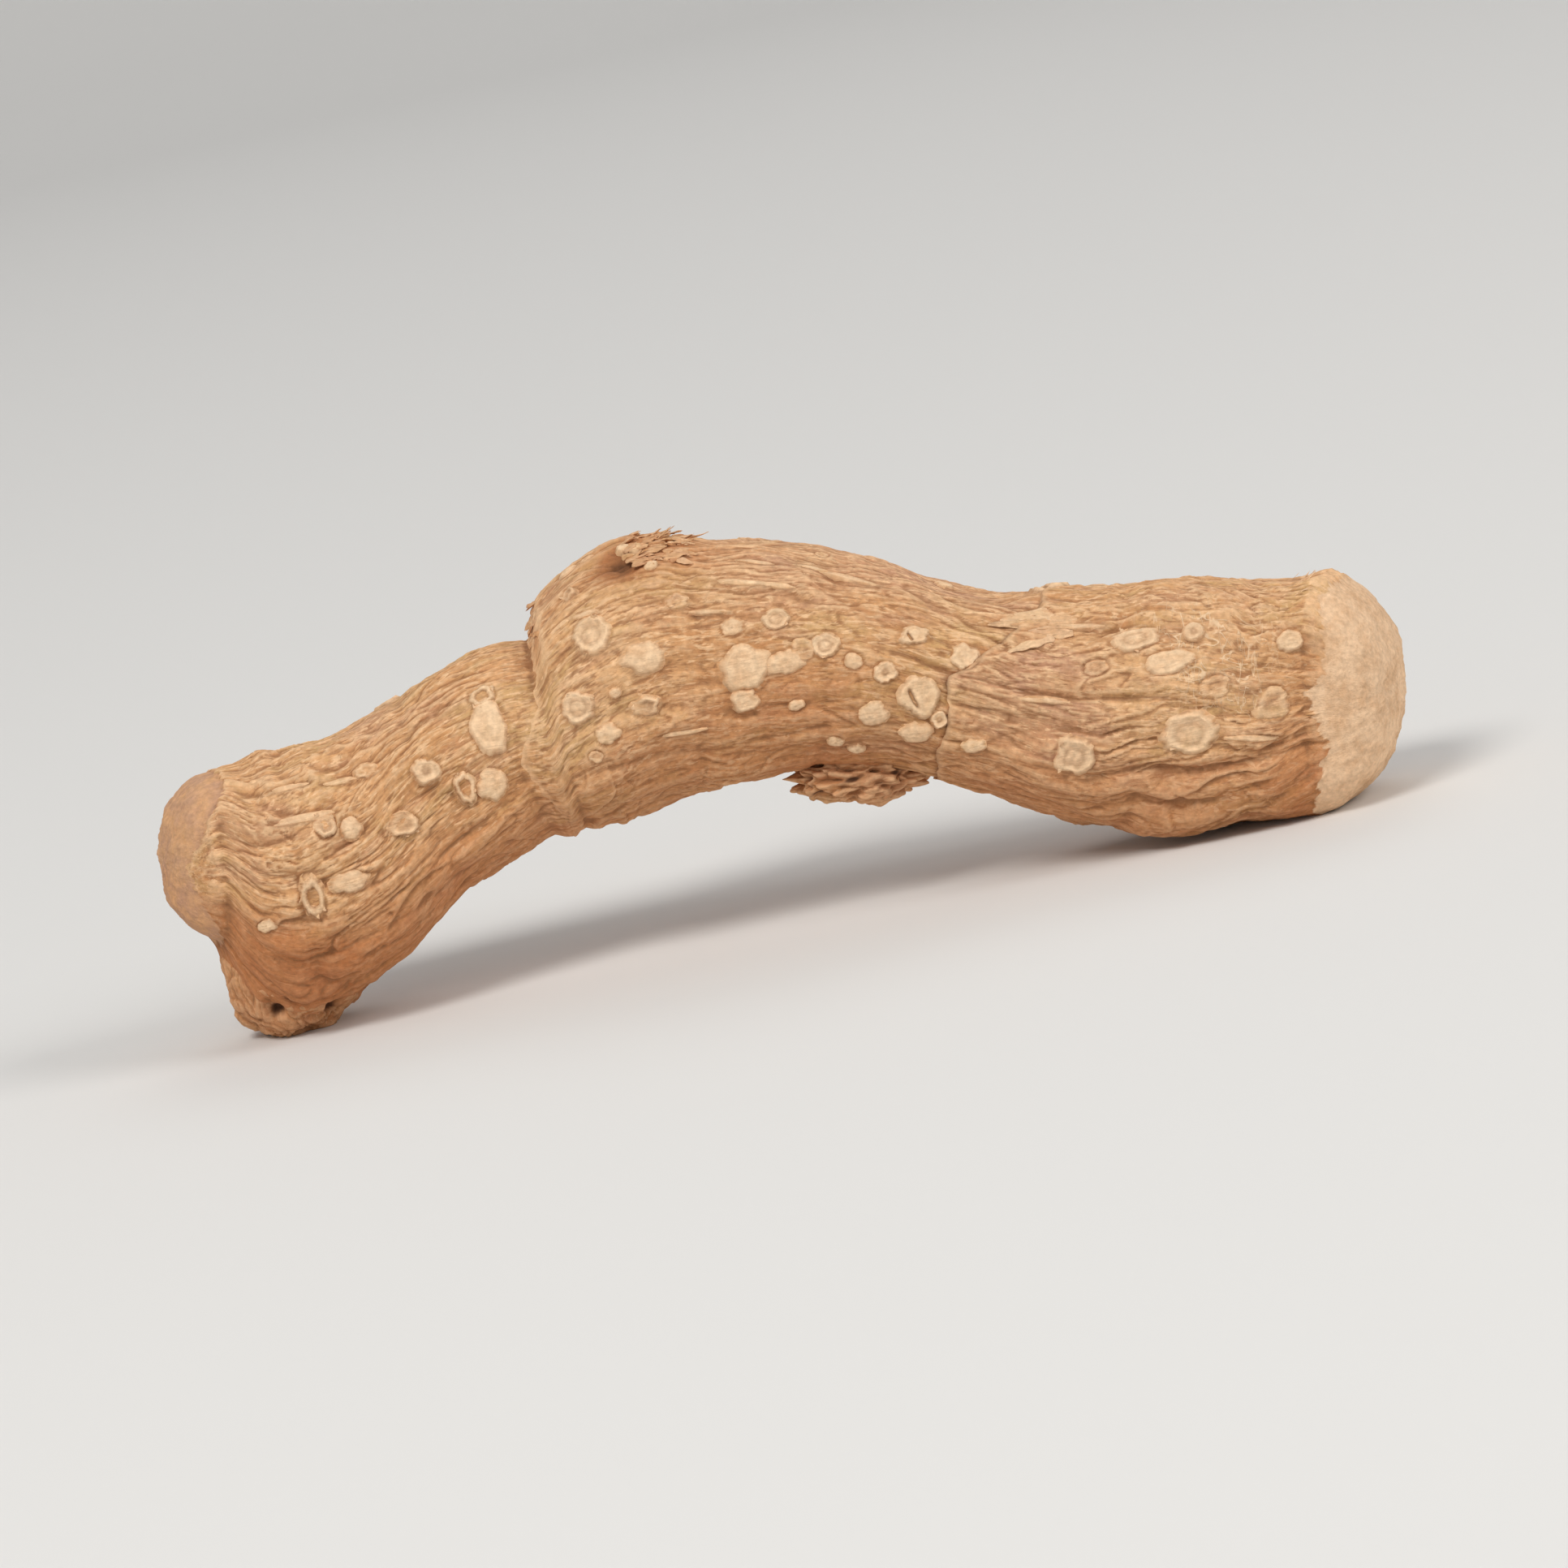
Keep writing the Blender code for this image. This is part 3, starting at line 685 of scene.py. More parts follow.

# Each kind of scar as heights in mm, paleness and painted shade at shares of its radius: the shade
# fills its pits, slits and dishes and draws a shadow line round its rim.
scarShares = (0, 0.15, 0.28, 0.40, 0.52, 0.64, 0.78, 0.92, 1.04, 1.16, 1.35)
scarKinds = {
    "ring": ((0.16, 0.13, 0.10, 0.10, 0.12, 0.16, 0.24, 0.30, 0.12, -0.04, -0.35),
             (0.70, 0.65, 0.60, 0.75, 0.95, 1.00, 1.00, 1.00, 0.70, 0.15, 0),
             (0.30, 0.40, 0.40, 0.20, 0.05, 0, 0, 0, 0.10, 0.35, 0)),
    "disc": ((0.26, 0.26, 0.25, 0.25, 0.24, 0.25, 0.28, 0.28, 0.10, -0.04, -0.35),
             (1.00, 0.95, 1.00, 1.00, 0.90, 0.95, 1.00, 1.00, 0.75, 0.15, 0),
             (0.05, 0.05, 0, 0, 0.05, 0, 0, 0, 0.10, 0.35, 0)),
    "plate": ((0.19, 0.20, 0.20, 0.17, 0.19, 0.16, 0.20, 0.30, 0.12, -0.04, -0.35),
              (0.90, 0.95, 0.90, 0.80, 0.70, 0.90, 1.00, 1.00, 0.70, 0.15, 0),
              (0.08, 0, 0, 0.08, 0.28, 0.10, 0, 0, 0.10, 0.35, 0)),
    "slit": ((0.24, 0.24, 0.25, 0.25, 0.24, 0.24, 0.28, 0.31, 0.10, -0.04, -0.35),
             (0.95, 0.95, 1.00, 0.95, 0.95, 1.00, 1.00, 1.00, 0.75, 0.15, 0),
             (0, 0, 0, 0.05, 0, 0, 0, 0, 0.15, 0.40, 0)),
    "hole": ((-0.80, -0.75, -0.60, -0.30, 0.05, 0.26, 0.34, 0.24, 0.04, -0.06, -0.35),
             (0, 0, 0, 0.20, 0.60, 0.90, 1.00, 0.80, 0.30, 0.05, 0),
             (1.00, 1.00, 1.00, 0.80, 0.25, 0, 0, 0.05, 0.40, 0.20, 0)),
    "torn": ((-0.70, -0.68, -0.60, -0.40, 0.05, 0.45, 0.62, 0.42, 0.06, -0.08, -0.35),
             (0, 0, 0, 0.15, 0.55, 0.90, 1.00, 0.75, 0.25, 0.05, 0),
             (1.00, 1.00, 1.00, 0.85, 0.30, 0.05, 0, 0.10, 0.45, 0.25, 0)),
    "blob": ((0.32, 0.33, 0.32, 0.31, 0.28, 0.25, 0.20, 0.14, 0.03, -0.08, -0.35),
             (0.85, 0.95, 0.90, 0.95, 0.95, 0.90, 0.90, 0.80, 0.45, 0.05, 0),
             (0, 0, 0.05, 0, 0, 0, 0, 0.05, 0.25, 0.10, 0)),
    "flake": ((0.02, 0.02, 0.03, 0.05, 0.14, 0.36, 0.55, 0.38, 0.06, -0.08, -0.35),
              (0.70, 0.70, 0.70, 0.70, 0.80, 1.00, 1.00, 0.95, 0.40, 0.05, 0),
              (0.20, 0.20, 0.25, 0.35, 0.30, 0.05, 0, 0, 0.45, 0.20, 0)),
    "dot": ((0.24, 0.24, 0.23, 0.22, 0.21, 0.20, 0.17, 0.12, 0.03, -0.08, -0.35),
            (0.80, 0.85, 0.95, 0.95, 0.95, 0.90, 0.85, 0.75, 0.30, 0.05, 0),
            (0.30, 0.10, 0, 0, 0, 0, 0, 0.05, 0.25, 0.10, 0)),
    "sliver": ((0.12, 0.13, 0.13, 0.12, 0.11, 0.10, 0.08, 0.04, -0.02, -0.10, -0.35),
               (0.75, 0.80, 0.80, 0.75, 0.70, 0.65, 0.55, 0.35, 0.10, 0.05, 0),
               (0, 0, 0, 0, 0, 0, 0, 0.05, 0.20, 0.10, 0)),
    "faint": ((0.06, 0.05, 0.04, 0.04, 0.06, 0.09, 0.12, 0.09, 0.01, -0.08, -0.35),
              (0.35, 0.30, 0.20, 0.20, 0.30, 0.45, 0.50, 0.40, 0.15, 0.05, 0),
              (0, 0, 0.10, 0.15, 0.05, 0, 0, 0, 0.20, 0.10, 0)),
}


def smoothSkin():
    # the skin without its wrinkles, which scars and frayed bits are set on
    rings, sides = 190, 150
    along = np.repeat(np.linspace(leftEnd, rightEnd, rings), sides)
    angle = np.tile(np.linspace(0, 2 * np.pi, sides, endpoint=False), rings)
    cosA, sinA = np.cos(angle), np.sin(angle)
    relief = lumps(along, cosA, sinA)
    lines = [collarLine(number, cosA, sinA) for number in range(2)]
    for number in range(2):
        past, rise, dip = collarRise(number, along, cosA, sinA, lines)
        relief += np.where(past > 0, rise, dip)
    points = formPoints(along, cosA, sinA, relief)
    faces = [(r * sides + k, (r + 1) * sides + k, (r + 1) * sides + (k + 1) % sides,
              r * sides + (k + 1) % sides) for r in range(rings - 1) for k in range(sides)]
    grain = wayAround(along, cosA, sinA, 1, grainRadius)
    return BVHTree.FromPolygons([Vector(p) for p in points.tolist()], faces), faces, grain


baseSkin, baseFaces, baseGrain = smoothSkin()
print("smooth skin ready")


def skinSpot(along, angle):
    # the place, normal and face of the smooth skin at an angle from its front
    middle = sectionAt(np.array([along]))[0]
    away = Vector((0, -math.cos(angle), math.sin(angle)))
    start = Vector((along, middle[asideAt], middle[upAt])) + away * farOut
    return baseSkin.ray_cast(start, -away)[:3]


def scarRow(hit, wide, high, kind, turn):
    place, normal, face = hit[:3]
    return {"place": place, "normal": normal, "wide": wide, "high": high, "kind": kind,
            "turn": turn, "grain": baseGrain[baseFaces[face][0]]}


def placeScars():
    # where every larger scar lies: those on the front, then seeded ones behind and on top
    draw = random.Random(scarSet["hiddenSeed"])
    placed = []
    tilt = math.radians(scarSet["sightTilt"])
    sight = Vector((0, math.cos(tilt), -math.sin(tilt)))
    for x, z, wide, high, kind in scarSet["front"]:
        lean = math.radians(sectionAt(np.array([x]))[0][leanAt])
        hit = baseSkin.ray_cast(Vector((x, 0, z)) - sight * farOut, sight)
        placed.append(scarRow(hit, wide, high, kind, lean if kind == "sliver" else 0.0))
    hidden = []
    for side, count in (("back", scarSet["hiddenBack"]), ("top", scarSet["hiddenTop"])):
        made = 0
        while made < count:
            x = draw.uniform(*scarSet["hiddenAlong"])
            middle = sectionAt(np.array([x]))[0]
            if side == "back":
                start = Vector((x, farOut, middle[upAt] + draw.uniform(*scarSet["hiddenUp"])))
                way = Vector((0, -1, 0))
            else:
                aside = middle[asideAt] + draw.uniform(*scarSet["hiddenAside"])
                start, way = Vector((x, aside, farOut)), Vector((0, 0, -1))
            hit = baseSkin.ray_cast(start, way)
            radius = draw.uniform(*scarSet["hiddenRadius"])
            clear = all((hit[0] - other).length > radius + size + scarSet["hiddenGap"]
                        for other, size in hidden)
            if clear and all(abs(x - place) > reach for place, reach in scarSet["keptClear"]):
                dish = draw.uniform(0.05, 0.4)
                kind = "ring" if dish > 0.28 else "slit" if dish > 0.2 else "disc"
                placed.append(scarRow(hit, radius * 1.1, radius, kind, 0.0))
                hidden.append((hit[0], radius))
                made += 1
    return placed


def addSmallScars(placed):
    # smaller ones scattered all round, more of them on the middle length
    draw = random.Random(scarSet["smallSeed"])
    made = 0
    while made < scarSet["smallOnes"]:
        x = draw.choice([draw.uniform(*span) for span in scarSet["smallAlong"]])
        hit = skinSpot(x, draw.uniform(0, 2 * math.pi))
        radius = draw.uniform(*scarSet["smallRadius"])
        kind = draw.choice(scarSet["smallKinds"])
        if hit[0] is None:
            continue
        gaps = [(hit[0] - scar["place"]).length - max(scar["wide"], scar["high"]) for scar in placed]
        if min(gaps) > radius + scarSet["smallGap"]:
            wide = radius * draw.uniform(1, 1.5)
            placed.append(scarRow(hit, wide, radius, kind, draw.uniform(-0.5, 0.5)))
            made += 1
    return placed


scars = addSmallScars(placeScars())
print("scars placed:", len(scars))


def scarAxes(scar):
    # along the root and across it, turned by the scar's own turn
    along = Vector((1, 0, 0)) - scar["normal"] * scar["normal"].x
    along.normalize()
    across = scar["normal"].cross(along)
    turned = Matrix.Rotation(scar["turn"], 3, scar["normal"])
    return turned @ along, turned @ across


def scarShade(points):
    # how far the scars near each point flatten the skin, raise it and paint a shadow ring round it
    flatten = np.zeros(len(points))
    swell = np.zeros(len(points))
    paintedShade = np.zeros(len(points))
    for scar in scars:
        along, across = scarAxes(scar)
        away = points - np.array(scar["place"])
        near = np.nonzero(np.abs(away).max(axis=1) < 5)[0]
        a = away[near] @ np.array(along) / scar["wide"]
        b = away[near] @ np.array(across) / scar["high"]
        depth = away[near] @ np.array(scar["normal"])
        reach = np.sqrt(a * a + b * b + (depth / 2.5) ** 2)
        size = min(scar["wide"], scar["high"])
        flatten[near] = np.maximum(flatten[near], smoothStep(1.45, 1.0, reach))
        swell[near] = np.maximum(swell[near], 0.04 * hump(reach, 1.5))
        # painted shadow: a dark ring just outside each scar, darker on its lower side
        shadowRing = 0.55 * hump((reach - 1.16) * size, 0.10)
        below = 0.5 + 0.5 * smoothStep(-0.3, -0.9, b / np.maximum(reach, 0.1))
        paintedShade[near] = np.maximum(paintedShade[near], shadowRing * below)
    return flatten, swell, paintedShade


# Where the bark stops at each cut end, in mm. Ragged is depth, size along, size round and offset.
# Over is how far it reaches past the rim: on the left as most, angle and reach round it, on the
# right by height on the section.
barkEdges = {
    "ragged": ((0.9, 9, 2.4, (0, 0, 0)), (0.5, 9, 1.0, (4, 0, 0)), (0.22, 4, 0.4, (0, 4, 0))),
    "slant": 8,
    "domeWidth": 6,
    "leftRagged": 0.6,
    "leftOver": (3.2, -0.05, 0.62),
    "leftTop": 1.0,
    "rightRagged": 1.2,
    "rightBehind": 0.5,
    "rightHeights": (-1, -0.6, -0.4, -0.1, 0.17, 0.44, 1),
    "rightOver": (-0.4, 1.5, 1.0, 0.8, 0.2, 1.3, 1.2),
}


def faceReach(number, share):
    # how far in from its rim a point of a cut face lies over the dome, in mm
    dome = rootForm["leftDome" if number == 0 else "rightDome"]
    return np.hypot((1 - share) * barkEdges["domeWidth"], dome * (1 - share**3) ** 0.8)


def barkEdge(number, along, cosA, sinA, share):
    # how far in from the bark's edge a point lies, in mm: its edge wanders near each cut's rim
    inward = np.abs(along - (leftEnd if number == 0 else rightEnd)) - faceReach(number, share)
    grain = wayAround(along + (1 - share) * barkEdges["slant"], cosA, sinA, 1, grainRadius)
    ragged = np.zeros_like(along)
    for depth, length, width, offset in barkEdges["ragged"]:
        ragged += depth * noiseAt(grain / (length, width, width), offset)
    if number == 0:
        most, place, reach = barkEdges["leftOver"]
        over = most * hump(np.arctan2(sinA, cosA) - place, reach)
        over -= barkEdges["leftTop"] * smoothStep(0.55, 0.95, sinA)
        return inward - barkEdges["leftRagged"] * ragged + over
    over = np.interp(sinA, barkEdges["rightHeights"], barkEdges["rightOver"])
    behind = barkEdges["rightBehind"]
    over = behind + (over - behind) * smoothStep(-0.4, 0.1, cosA)
    return inward - barkEdges["rightRagged"] * ragged + over


def addTints(piece, number, along, angle, hollow):
    # where the skin is redder, mauve or straw-coloured, and where a web of hair lines covers it; the
    # redness on the underside is partly painted shade
    sinA = np.sin(angle)
    # the underside and the bed under the knob are redder: the root's own reddish-brown, deepened as
    # painted shade beneath
    kneeBed = hump(along + 41, 4.5) * smoothStep(-0.05, -0.6, sinA)
    redTintAndUnderShade = 0.62 * smoothStep(0.0, -0.85, sinA) + 0.72 * kneeBed + 2 * hollow
    redTintAndUnderShade += spotSum("torn", along, angle)
    redTintAndUnderShade += 0.35 * smoothStep(0.2, -0.6, sinA) * hump(along + 33, 9)
    mauve = spotSum("mauve", along, angle)
    if number == 0:
        straw = 0.35 * hump(along + 38, 6)
    elif number == 1:
        redTintAndUnderShade += spotSum("redMiddle", along, angle)
        mauve += smoothStep(0.60, 0.90, sinA) * hump(along - 9, 10)
        straw = spotSum("strawMiddle", along, angle)
    else:
        redTintAndUnderShade += 0.32 * smoothStep(36, 42, along) * smoothStep(1.0, 0.6, sinA)
        mauve += spotSum("mauveRight", along, angle)
        straw = spotSum("strawRight", along, angle)
    tints = {"red": redTintAndUnderShade, "mauve": mauve, "straw": straw,
             "crackle": spotSum("crackle", along, angle)}
    for layer, values in tints.items():
        setAttribute(piece, layer, np.clip(values, 0, 1))


def addLength(number):
    # one length of growth: a tube whose ends follow the collars or the cut faces
    name = growthTubes["names"][number]
    segments = growthTubes["segments"][number]
    startRings = growthTubes["faceRings" if number == 0 else "hiddenRings"]
    endRings = growthTubes["faceRings" if number == 2 else "hiddenRings"]
    piece = addTube(name, segments, startRings, endRings)
    raw = readPoints(piece)
    angle = np.arctan2(raw[:, 2], -raw[:, 1])
    cosA, sinA = np.cos(angle), np.sin(angle)
    lines = [collarLine(k, cosA, sinA) for k in range(2)]
    start = np.full(len(raw), leftEnd) if number == 0 else lines[number - 1]
    end = np.full(len(raw), rightEnd) if number == 2 else lines[number] + growthTubes["tuck"]
    s = np.clip(raw[:, 0] / segments, 0, 1)
    along = start + (end - start) * s
    shareStart = 1 - np.clip(-raw[:, 0] / startRings, 0, 1)
    shareEnd = 1 - np.clip((raw[:, 0] - segments) / endRings, 0, 1)

    low = lumps(along, cosA, sinA)
    tucked = np.zeros(len(raw))
    for k in range(2):
        past, rise, dip = collarRise(k, along, cosA, sinA, lines)
        low += rise if k < number else dip
        if k == number:
            tucked = np.maximum(past, 0)
    flatten, swell, paintedShade = scarShade(formPoints(along, cosA, sinA, low))
    covered, share = np.full(len(raw), 9.0), np.ones(len(raw))
    if number != 1:
        share = shareStart if number == 0 else shareEnd
        covered = barkEdge(number, along, cosA, sinA, share)
    skinned = smoothStep(-0.10, 0.12, covered)
    over = along + faceReach(number, share) * (number - 1) if number != 1 else along
    # the hollow is dug in; its darkening is painted shade, its extra red the root's own
    hollow = spotSum("hollow", along, angle) * (number == 1)
    relief = swell - growthTubes["hollowDepth"] * hollow
    relief += highRelief(over, cosA, sinA) * (1 - 0.9 * flatten) * (0.1 + 0.9 * skinned)
    relief = low + relief * smoothStep(0.80, 0.98, share) - growthTubes["cutDepth"] * (1 - skinned)
    relief -= growthTubes["tuckDepth"] * np.minimum(tucked, 1.0)
    if number == 1:
        edge = smoothStep(1.6, 0, along - lines[0])
        relief -= growthTubes["hemPress"] * edge * smoothStep(-0.55, -0.90, sinA)
    points = formPoints(along, cosA, sinA, relief)
    if number == 0:
        even = formPoints(along, cosA, sinA, low)
        points += joinSmoothly(even, sideShoots["leftShoot"], True) - even
        push, pitShade = shootPits(points, sideShoots["leftShoot"])
        points -= push
        paintedShade = np.maximum(paintedShade, pitShade)
    for side, near, hidden in ((-1, shareStart, number > 0), (1, shareEnd, number < 2)):
        face, rim = near < 0.9999, (near >= 0.9999) & (np.abs(s - (side + 1) / 2) < 1e-5)
        if hidden:
            middle = points[rim].mean(axis=0)
            points[face] = middle + (points[face] - middle) * near[face][:, None]
            points[face, 0] += growthTubes["hiddenBulge"] * (1 - near[face])
        else:
            dome = rootForm["leftDome" if side < 0 else "rightDome"]
            domeFace(points, face, rim, near, leftEnd if side < 0 else rightEnd, side, dome)
    writePoints(piece, settle(points) * mm)
    hiddenEnds = [end for end, hidden in ((0, number > 0), (segments, number < 2)) if hidden]
    markRimsSharp(piece, raw[:, 0], hiddenEnds)

    bare = np.clip(0.5 - 0.5 * covered, 0, 1)  # 0.5 at the edge, to 0 or 1 within a mm
    setAttribute(piece, "cut", bare * (number == 2))
    setAttribute(piece, "oldCut", bare * (number == 0))
    # painted shade: a dark line in the crack along the second collar, and the hollow darkened, added
    # to the scars' shadow rings and the pits' shade
    uneven = 0.6 + 0.9 * noiseAt(np.stack((angle * 5, angle * 0, angle * 0), axis=1))
    crackShade = 0.62 * hump(along - lines[1], 0.16) * uneven
    setAttribute(piece, "paintedShade", np.clip(np.maximum(paintedShade, 0.75 * hollow) + crackShade, 0, 1))
    setAttribute(piece, "pale", np.zeros(len(points)))
    grain = wayAround(over, cosA, sinA, 1, grainRadius)
    grain[:, 1:] *= share[:, None]
    setAttribute(piece, "grain", grain)
    addTints(piece, number, along, angle, hollow)
    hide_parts("rhizome")
    return finishPiece(piece, (("fineHeight", 3, 0.022), ("height", 22, 0.16)))


lengths = [addLength(number) for number in range(3)]
print("three lengths modelled:", [len(piece.data.polygons) for piece in lengths])


def addScarBlank(levels):
    # one scar as a low button: a circle drawn in ring by ring to its middle, and closed below
    deselectAll()
    radius, height = scarSet["skirt"], scarSet["height"]
    bpy.ops.mesh.primitive_circle_add(vertices=scarSet["sides"], radius=radius,
                                      location=(0, 0, -height))
    blank = renameActive(f"scarBlank{levels}")
    bpy.ops.object.transform_apply(location=True, rotation=True, scale=True)
    startEditing()
    bpy.ops.mesh.extrude_region_move(TRANSFORM_OT_translate={"value": (0, 0, height)})
    for nextRadius in scarSet["rings"]:
        share = nextRadius / radius
        extrudeRing((0, 0, 0), (share, share, 1), (0, 0, 0))
        radius = nextRadius
    bpy.ops.mesh.merge(type="CENTER")
    selectBelow(blank, 2, -height / 2)
    bpy.ops.mesh.edge_face_add()
    return finishEditing(blank, levels)


def shapeScar(blank, scar, number):
    # a copy of the blank, given its kind's rim and dish and laid on the skin
    piece = copyOf(blank)
    raw = readPoints(piece)
    reach = np.hypot(raw[:, 0], raw[:, 1])
    phi = np.arctan2(raw[:, 1], raw[:, 0])
    turned = np.full(len(phi), number * 3.7)
    ring = np.stack((1.3 * np.cos(phi), 1.3 * np.sin(phi), turned), axis=1)
    shares = reach / (1 + sum(much * noiseAt(ring * scale) for scale, much in scarSet["wobble"]))
    flecks = np.stack((raw[:, 0] * 2.2, raw[:, 1] * 2.2, turned), axis=1)
    shares = shares + 0.07 * noiseAt(flecks * 0.7) * smoothStep(1.0, 0.8, reach)
    height, pale, paintedShade = (np.interp(shares, scarShares, row) for row in scarKinds[scar["kind"]])
    lipTurn = {"torn": 2.6, "flake": -0.5}.get(scar["kind"], 0.0) + 0.9 * math.sin(number * 2.4)
    lip = smoothStep(-0.6, 0.7, np.cos(phi - lipTurn))
    # a flake's painted shadow line is strongest on the side of its raised lip
    if scar["kind"] == "flake":
        height = np.where(height > 0, height * (0.10 + 0.90 * lip), height)
        pale *= 0.55 + 0.45 * lip
        paintedShade *= 0.4 + 0.6 * lip
    if scar["kind"] == "torn":
        height = np.where(height > 0, height * (0.25 + 0.95 * lip), height)
    if scar["kind"] in ("ring", "plate"):
        height += 0.10 * (lip - 0.5) * hump(shares - 0.92, 0.16)
    # a slit's gash is dug in and painted dark as the shade in it
    if scar["kind"] == "slit":
        gash = hump((raw[:, 0] + 0.25 * raw[:, 1] + 0.42) / 0.11, 1) * smoothStep(0.85, 0.55, shares)
        height -= scarSet["gashDepth"] * gash
        paintedShade = np.clip(paintedShade + gash, 0, 1)
    # painted shadow: the dark line round the rim is darker on its lower side
    below = 0.35 + 0.65 * smoothStep(0.4, -0.6, np.sin(phi))
    paintedShade = np.where(shares > 0.9, paintedShade * below, paintedShade)
    height += 0.05 * noiseAt(flecks * 1.6) * smoothStep(1.2, 0.9, shares)
    pale *= 0.92 + 0.40 * noiseAt(flecks * 0.8)
    size = min(1.0, 0.50 + 0.35 * min(scar["wide"], scar["high"]))
    along, across = scarAxes(scar)
    normal = scar["normal"]
    down = -raw[:, 2] / scarSet["height"]
    top = down < 0.5
    lift = (height * size + scarSet["proud"]) * (1 - down) - scarSet["height"] * down
    points = np.empty_like(raw)
    for k, (a, b) in enumerate(raw[:, :2].tolist()):
        spot = scar["place"] + along * (a * scar["wide"]) + across * (b * scar["high"])
        hit = baseSkin.ray_cast(spot + normal * 3, -normal, 8)[0]
        base = hit if hit is not None else spot
        points[k] = base + normal * lift[k]
    writePoints(piece, settle(points) * mm)
    grain = scar["grain"] + raw * (scar["wide"], scar["high"], 0)
    return piece, np.clip(pale, 0, 1) * top, paintedShade * top, grain


def addScars():
    # slivers and the scattered small ones get the coarser button
    small = addScarBlank(scarSet["smallLevels"])
    large = addScarBlank(scarSet["levels"])
    scattered = len(scars) - scarSet["smallOnes"]
    parts, layers = [], {"pale": [], "paintedShade": [], "grain": []}
    for number, scar in enumerate(scars):
        isSmall = scar["kind"] == "sliver" or number >= scattered
        part, *values = shapeScar(small if isSmall else large, scar, number)
        parts.append(part)
        for layer, value in zip(layers, values):
            layers[layer].append(value)
    for blank in (small, large):
        bpy.data.objects.remove(blank, do_unlink=True)
    piece = joinAll(parts, "rootScars", layers)
    return finishPiece(piece, (("fineHeight", 2, 0.02), ("height", 9, 0.08)))


scarPiece = addScars()
print("scars modelled:", len(scarPiece.data.polygons), "faces")


def addShoot(name):
    # a side shoot's stub: a ball drawn out to its egg shape, flaky and pitted
    shoot = sideShoots[name]
    deselectAll()
    bpy.ops.mesh.primitive_ico_sphere_add(subdivisions=6, radius=1)
    piece = renameActive(name)
    way = readPoints(piece)
    offset = (4 + shoot["seed"], 0, 0)
    size = 1 + 0.16 * noiseAt(way * 1.7, offset) + shoot["knobbly"] * noiseAt(way * 3.7, offset)
    middle = np.array(shoot["place"])
    even = middle + way * shoot["radii"]
    points = even + way * shoot["radii"] * (size - 1)[:, None]
    points[:, 2] += (points[:, 0] - middle[0]) * shoot["slope"]
    if shoot["fillet"]:
        points += joinSmoothly(even, shoot, False) - even
    grain = points[:, (2, 0, 1)] if shoot["fillet"] else points
    rough = shoot["rough"]
    raised = 0.30 * rough * sawFlakes(grain / (5, 1.9, 1.9), offset, 2.4, 0.2)
    raised += 0.20 * rough * (ridged(grain / (3.5, 0.9, 0.9), offset, 3.2) - 0.8)
    raised += 0.10 * rough * noiseAt(grain / 0.8) + 0.05 * rough * noiseAt(grain / 0.4, (5, 5, 5))
    push, paintedShade = shootPits(points, shoot)
    points += way * raised[:, None] - push
    writePoints(piece, settle(points) * mm)
    setAttribute(piece, "grain", grain)
    setAttribute(piece, "paintedShade", paintedShade)
    setAttribute(piece, "red", np.full(len(way), shoot["red"]))
    return finishPiece(piece, (("fineHeight", 3, 0.03), ("height", 20, 0.16)))


shoots = [addShoot(name) for name in sideShoots]
print("side shoots modelled")

# Frayed leaf bases. Each tuft: the range along X and round the skin in degrees from the front,
# the way its flakes point along X and how far they stray from it, number, length, width, thickness,
# lift, reddening and paleness.
frayed = {
    "tufts": (
        {"along": (-8.8, -4.2), "angle": (60, 100), "way": 1, "stray": 1.5, "count": 64,
         "length": (0.9, 2.2), "width": (0.35, 1.2), "thick": 0.26, "lift": (0.0, 0.12),
         "red": (0.0, 0.40), "pale": (0.0, 0.40)},
        {"along": (-6.6, -3.4), "angle": (82, 98), "way": 1, "stray": 1.0, "count": 8,
         "length": (1.0, 1.9), "width": (0.5, 1.1), "thick": 0.22, "lift": (0.35, 0.80),
         "red": (0.0, 0.3), "pale": (0.3, 0.8)},
        {"along": (9.4, 2.6), "angle": (-104, -72), "way": -1, "stray": 1.0, "count": 11,
         "length": (1.2, 2.8), "width": (0.8, 2.0), "thick": 0.22, "lift": (0.1, 0.5),
         "red": (0.2, 0.7), "pale": (0.1, 0.9)},
        {"along": (26.0, 21.5), "angle": (44, 64), "way": -1, "stray": 0.3, "count": 9,
         "length": (2.4, 4.6), "width": (0.8, 1.5), "thick": 0.18, "lift": (0.0, 0.10),
         "red": (0.0, 0.1), "pale": (0.3, 0.8)},
        {"along": (-16.4, -15.8), "angle": (48, 150), "way": -1, "stray": 1.0, "count": 20,
         "length": (0.8, 1.7), "width": (0.5, 1.3), "thick": 0.14, "lift": (0.0, 0.30),
         "red": (0.0, 0.4), "pale": (0, 0.3)},
        {"along": (41.2, 42.4), "angle": (-60, 300), "way": 1, "stray": 1.0, "count": 46,
         "length": (0.5, 1.6), "width": (0.06, 0.14), "thick": 0.07, "lift": (0.1, 0.7),
         "red": (0.0, 0.1), "pale": (0.6, 1.0)},
    ),
    "lips": {"hole": 4, "torn": 5, "flake": 3, "plate": 2},
    "seed": 5,
    "rings": 7,
    "archStart": -18,
    "archBase": 8.8,
}


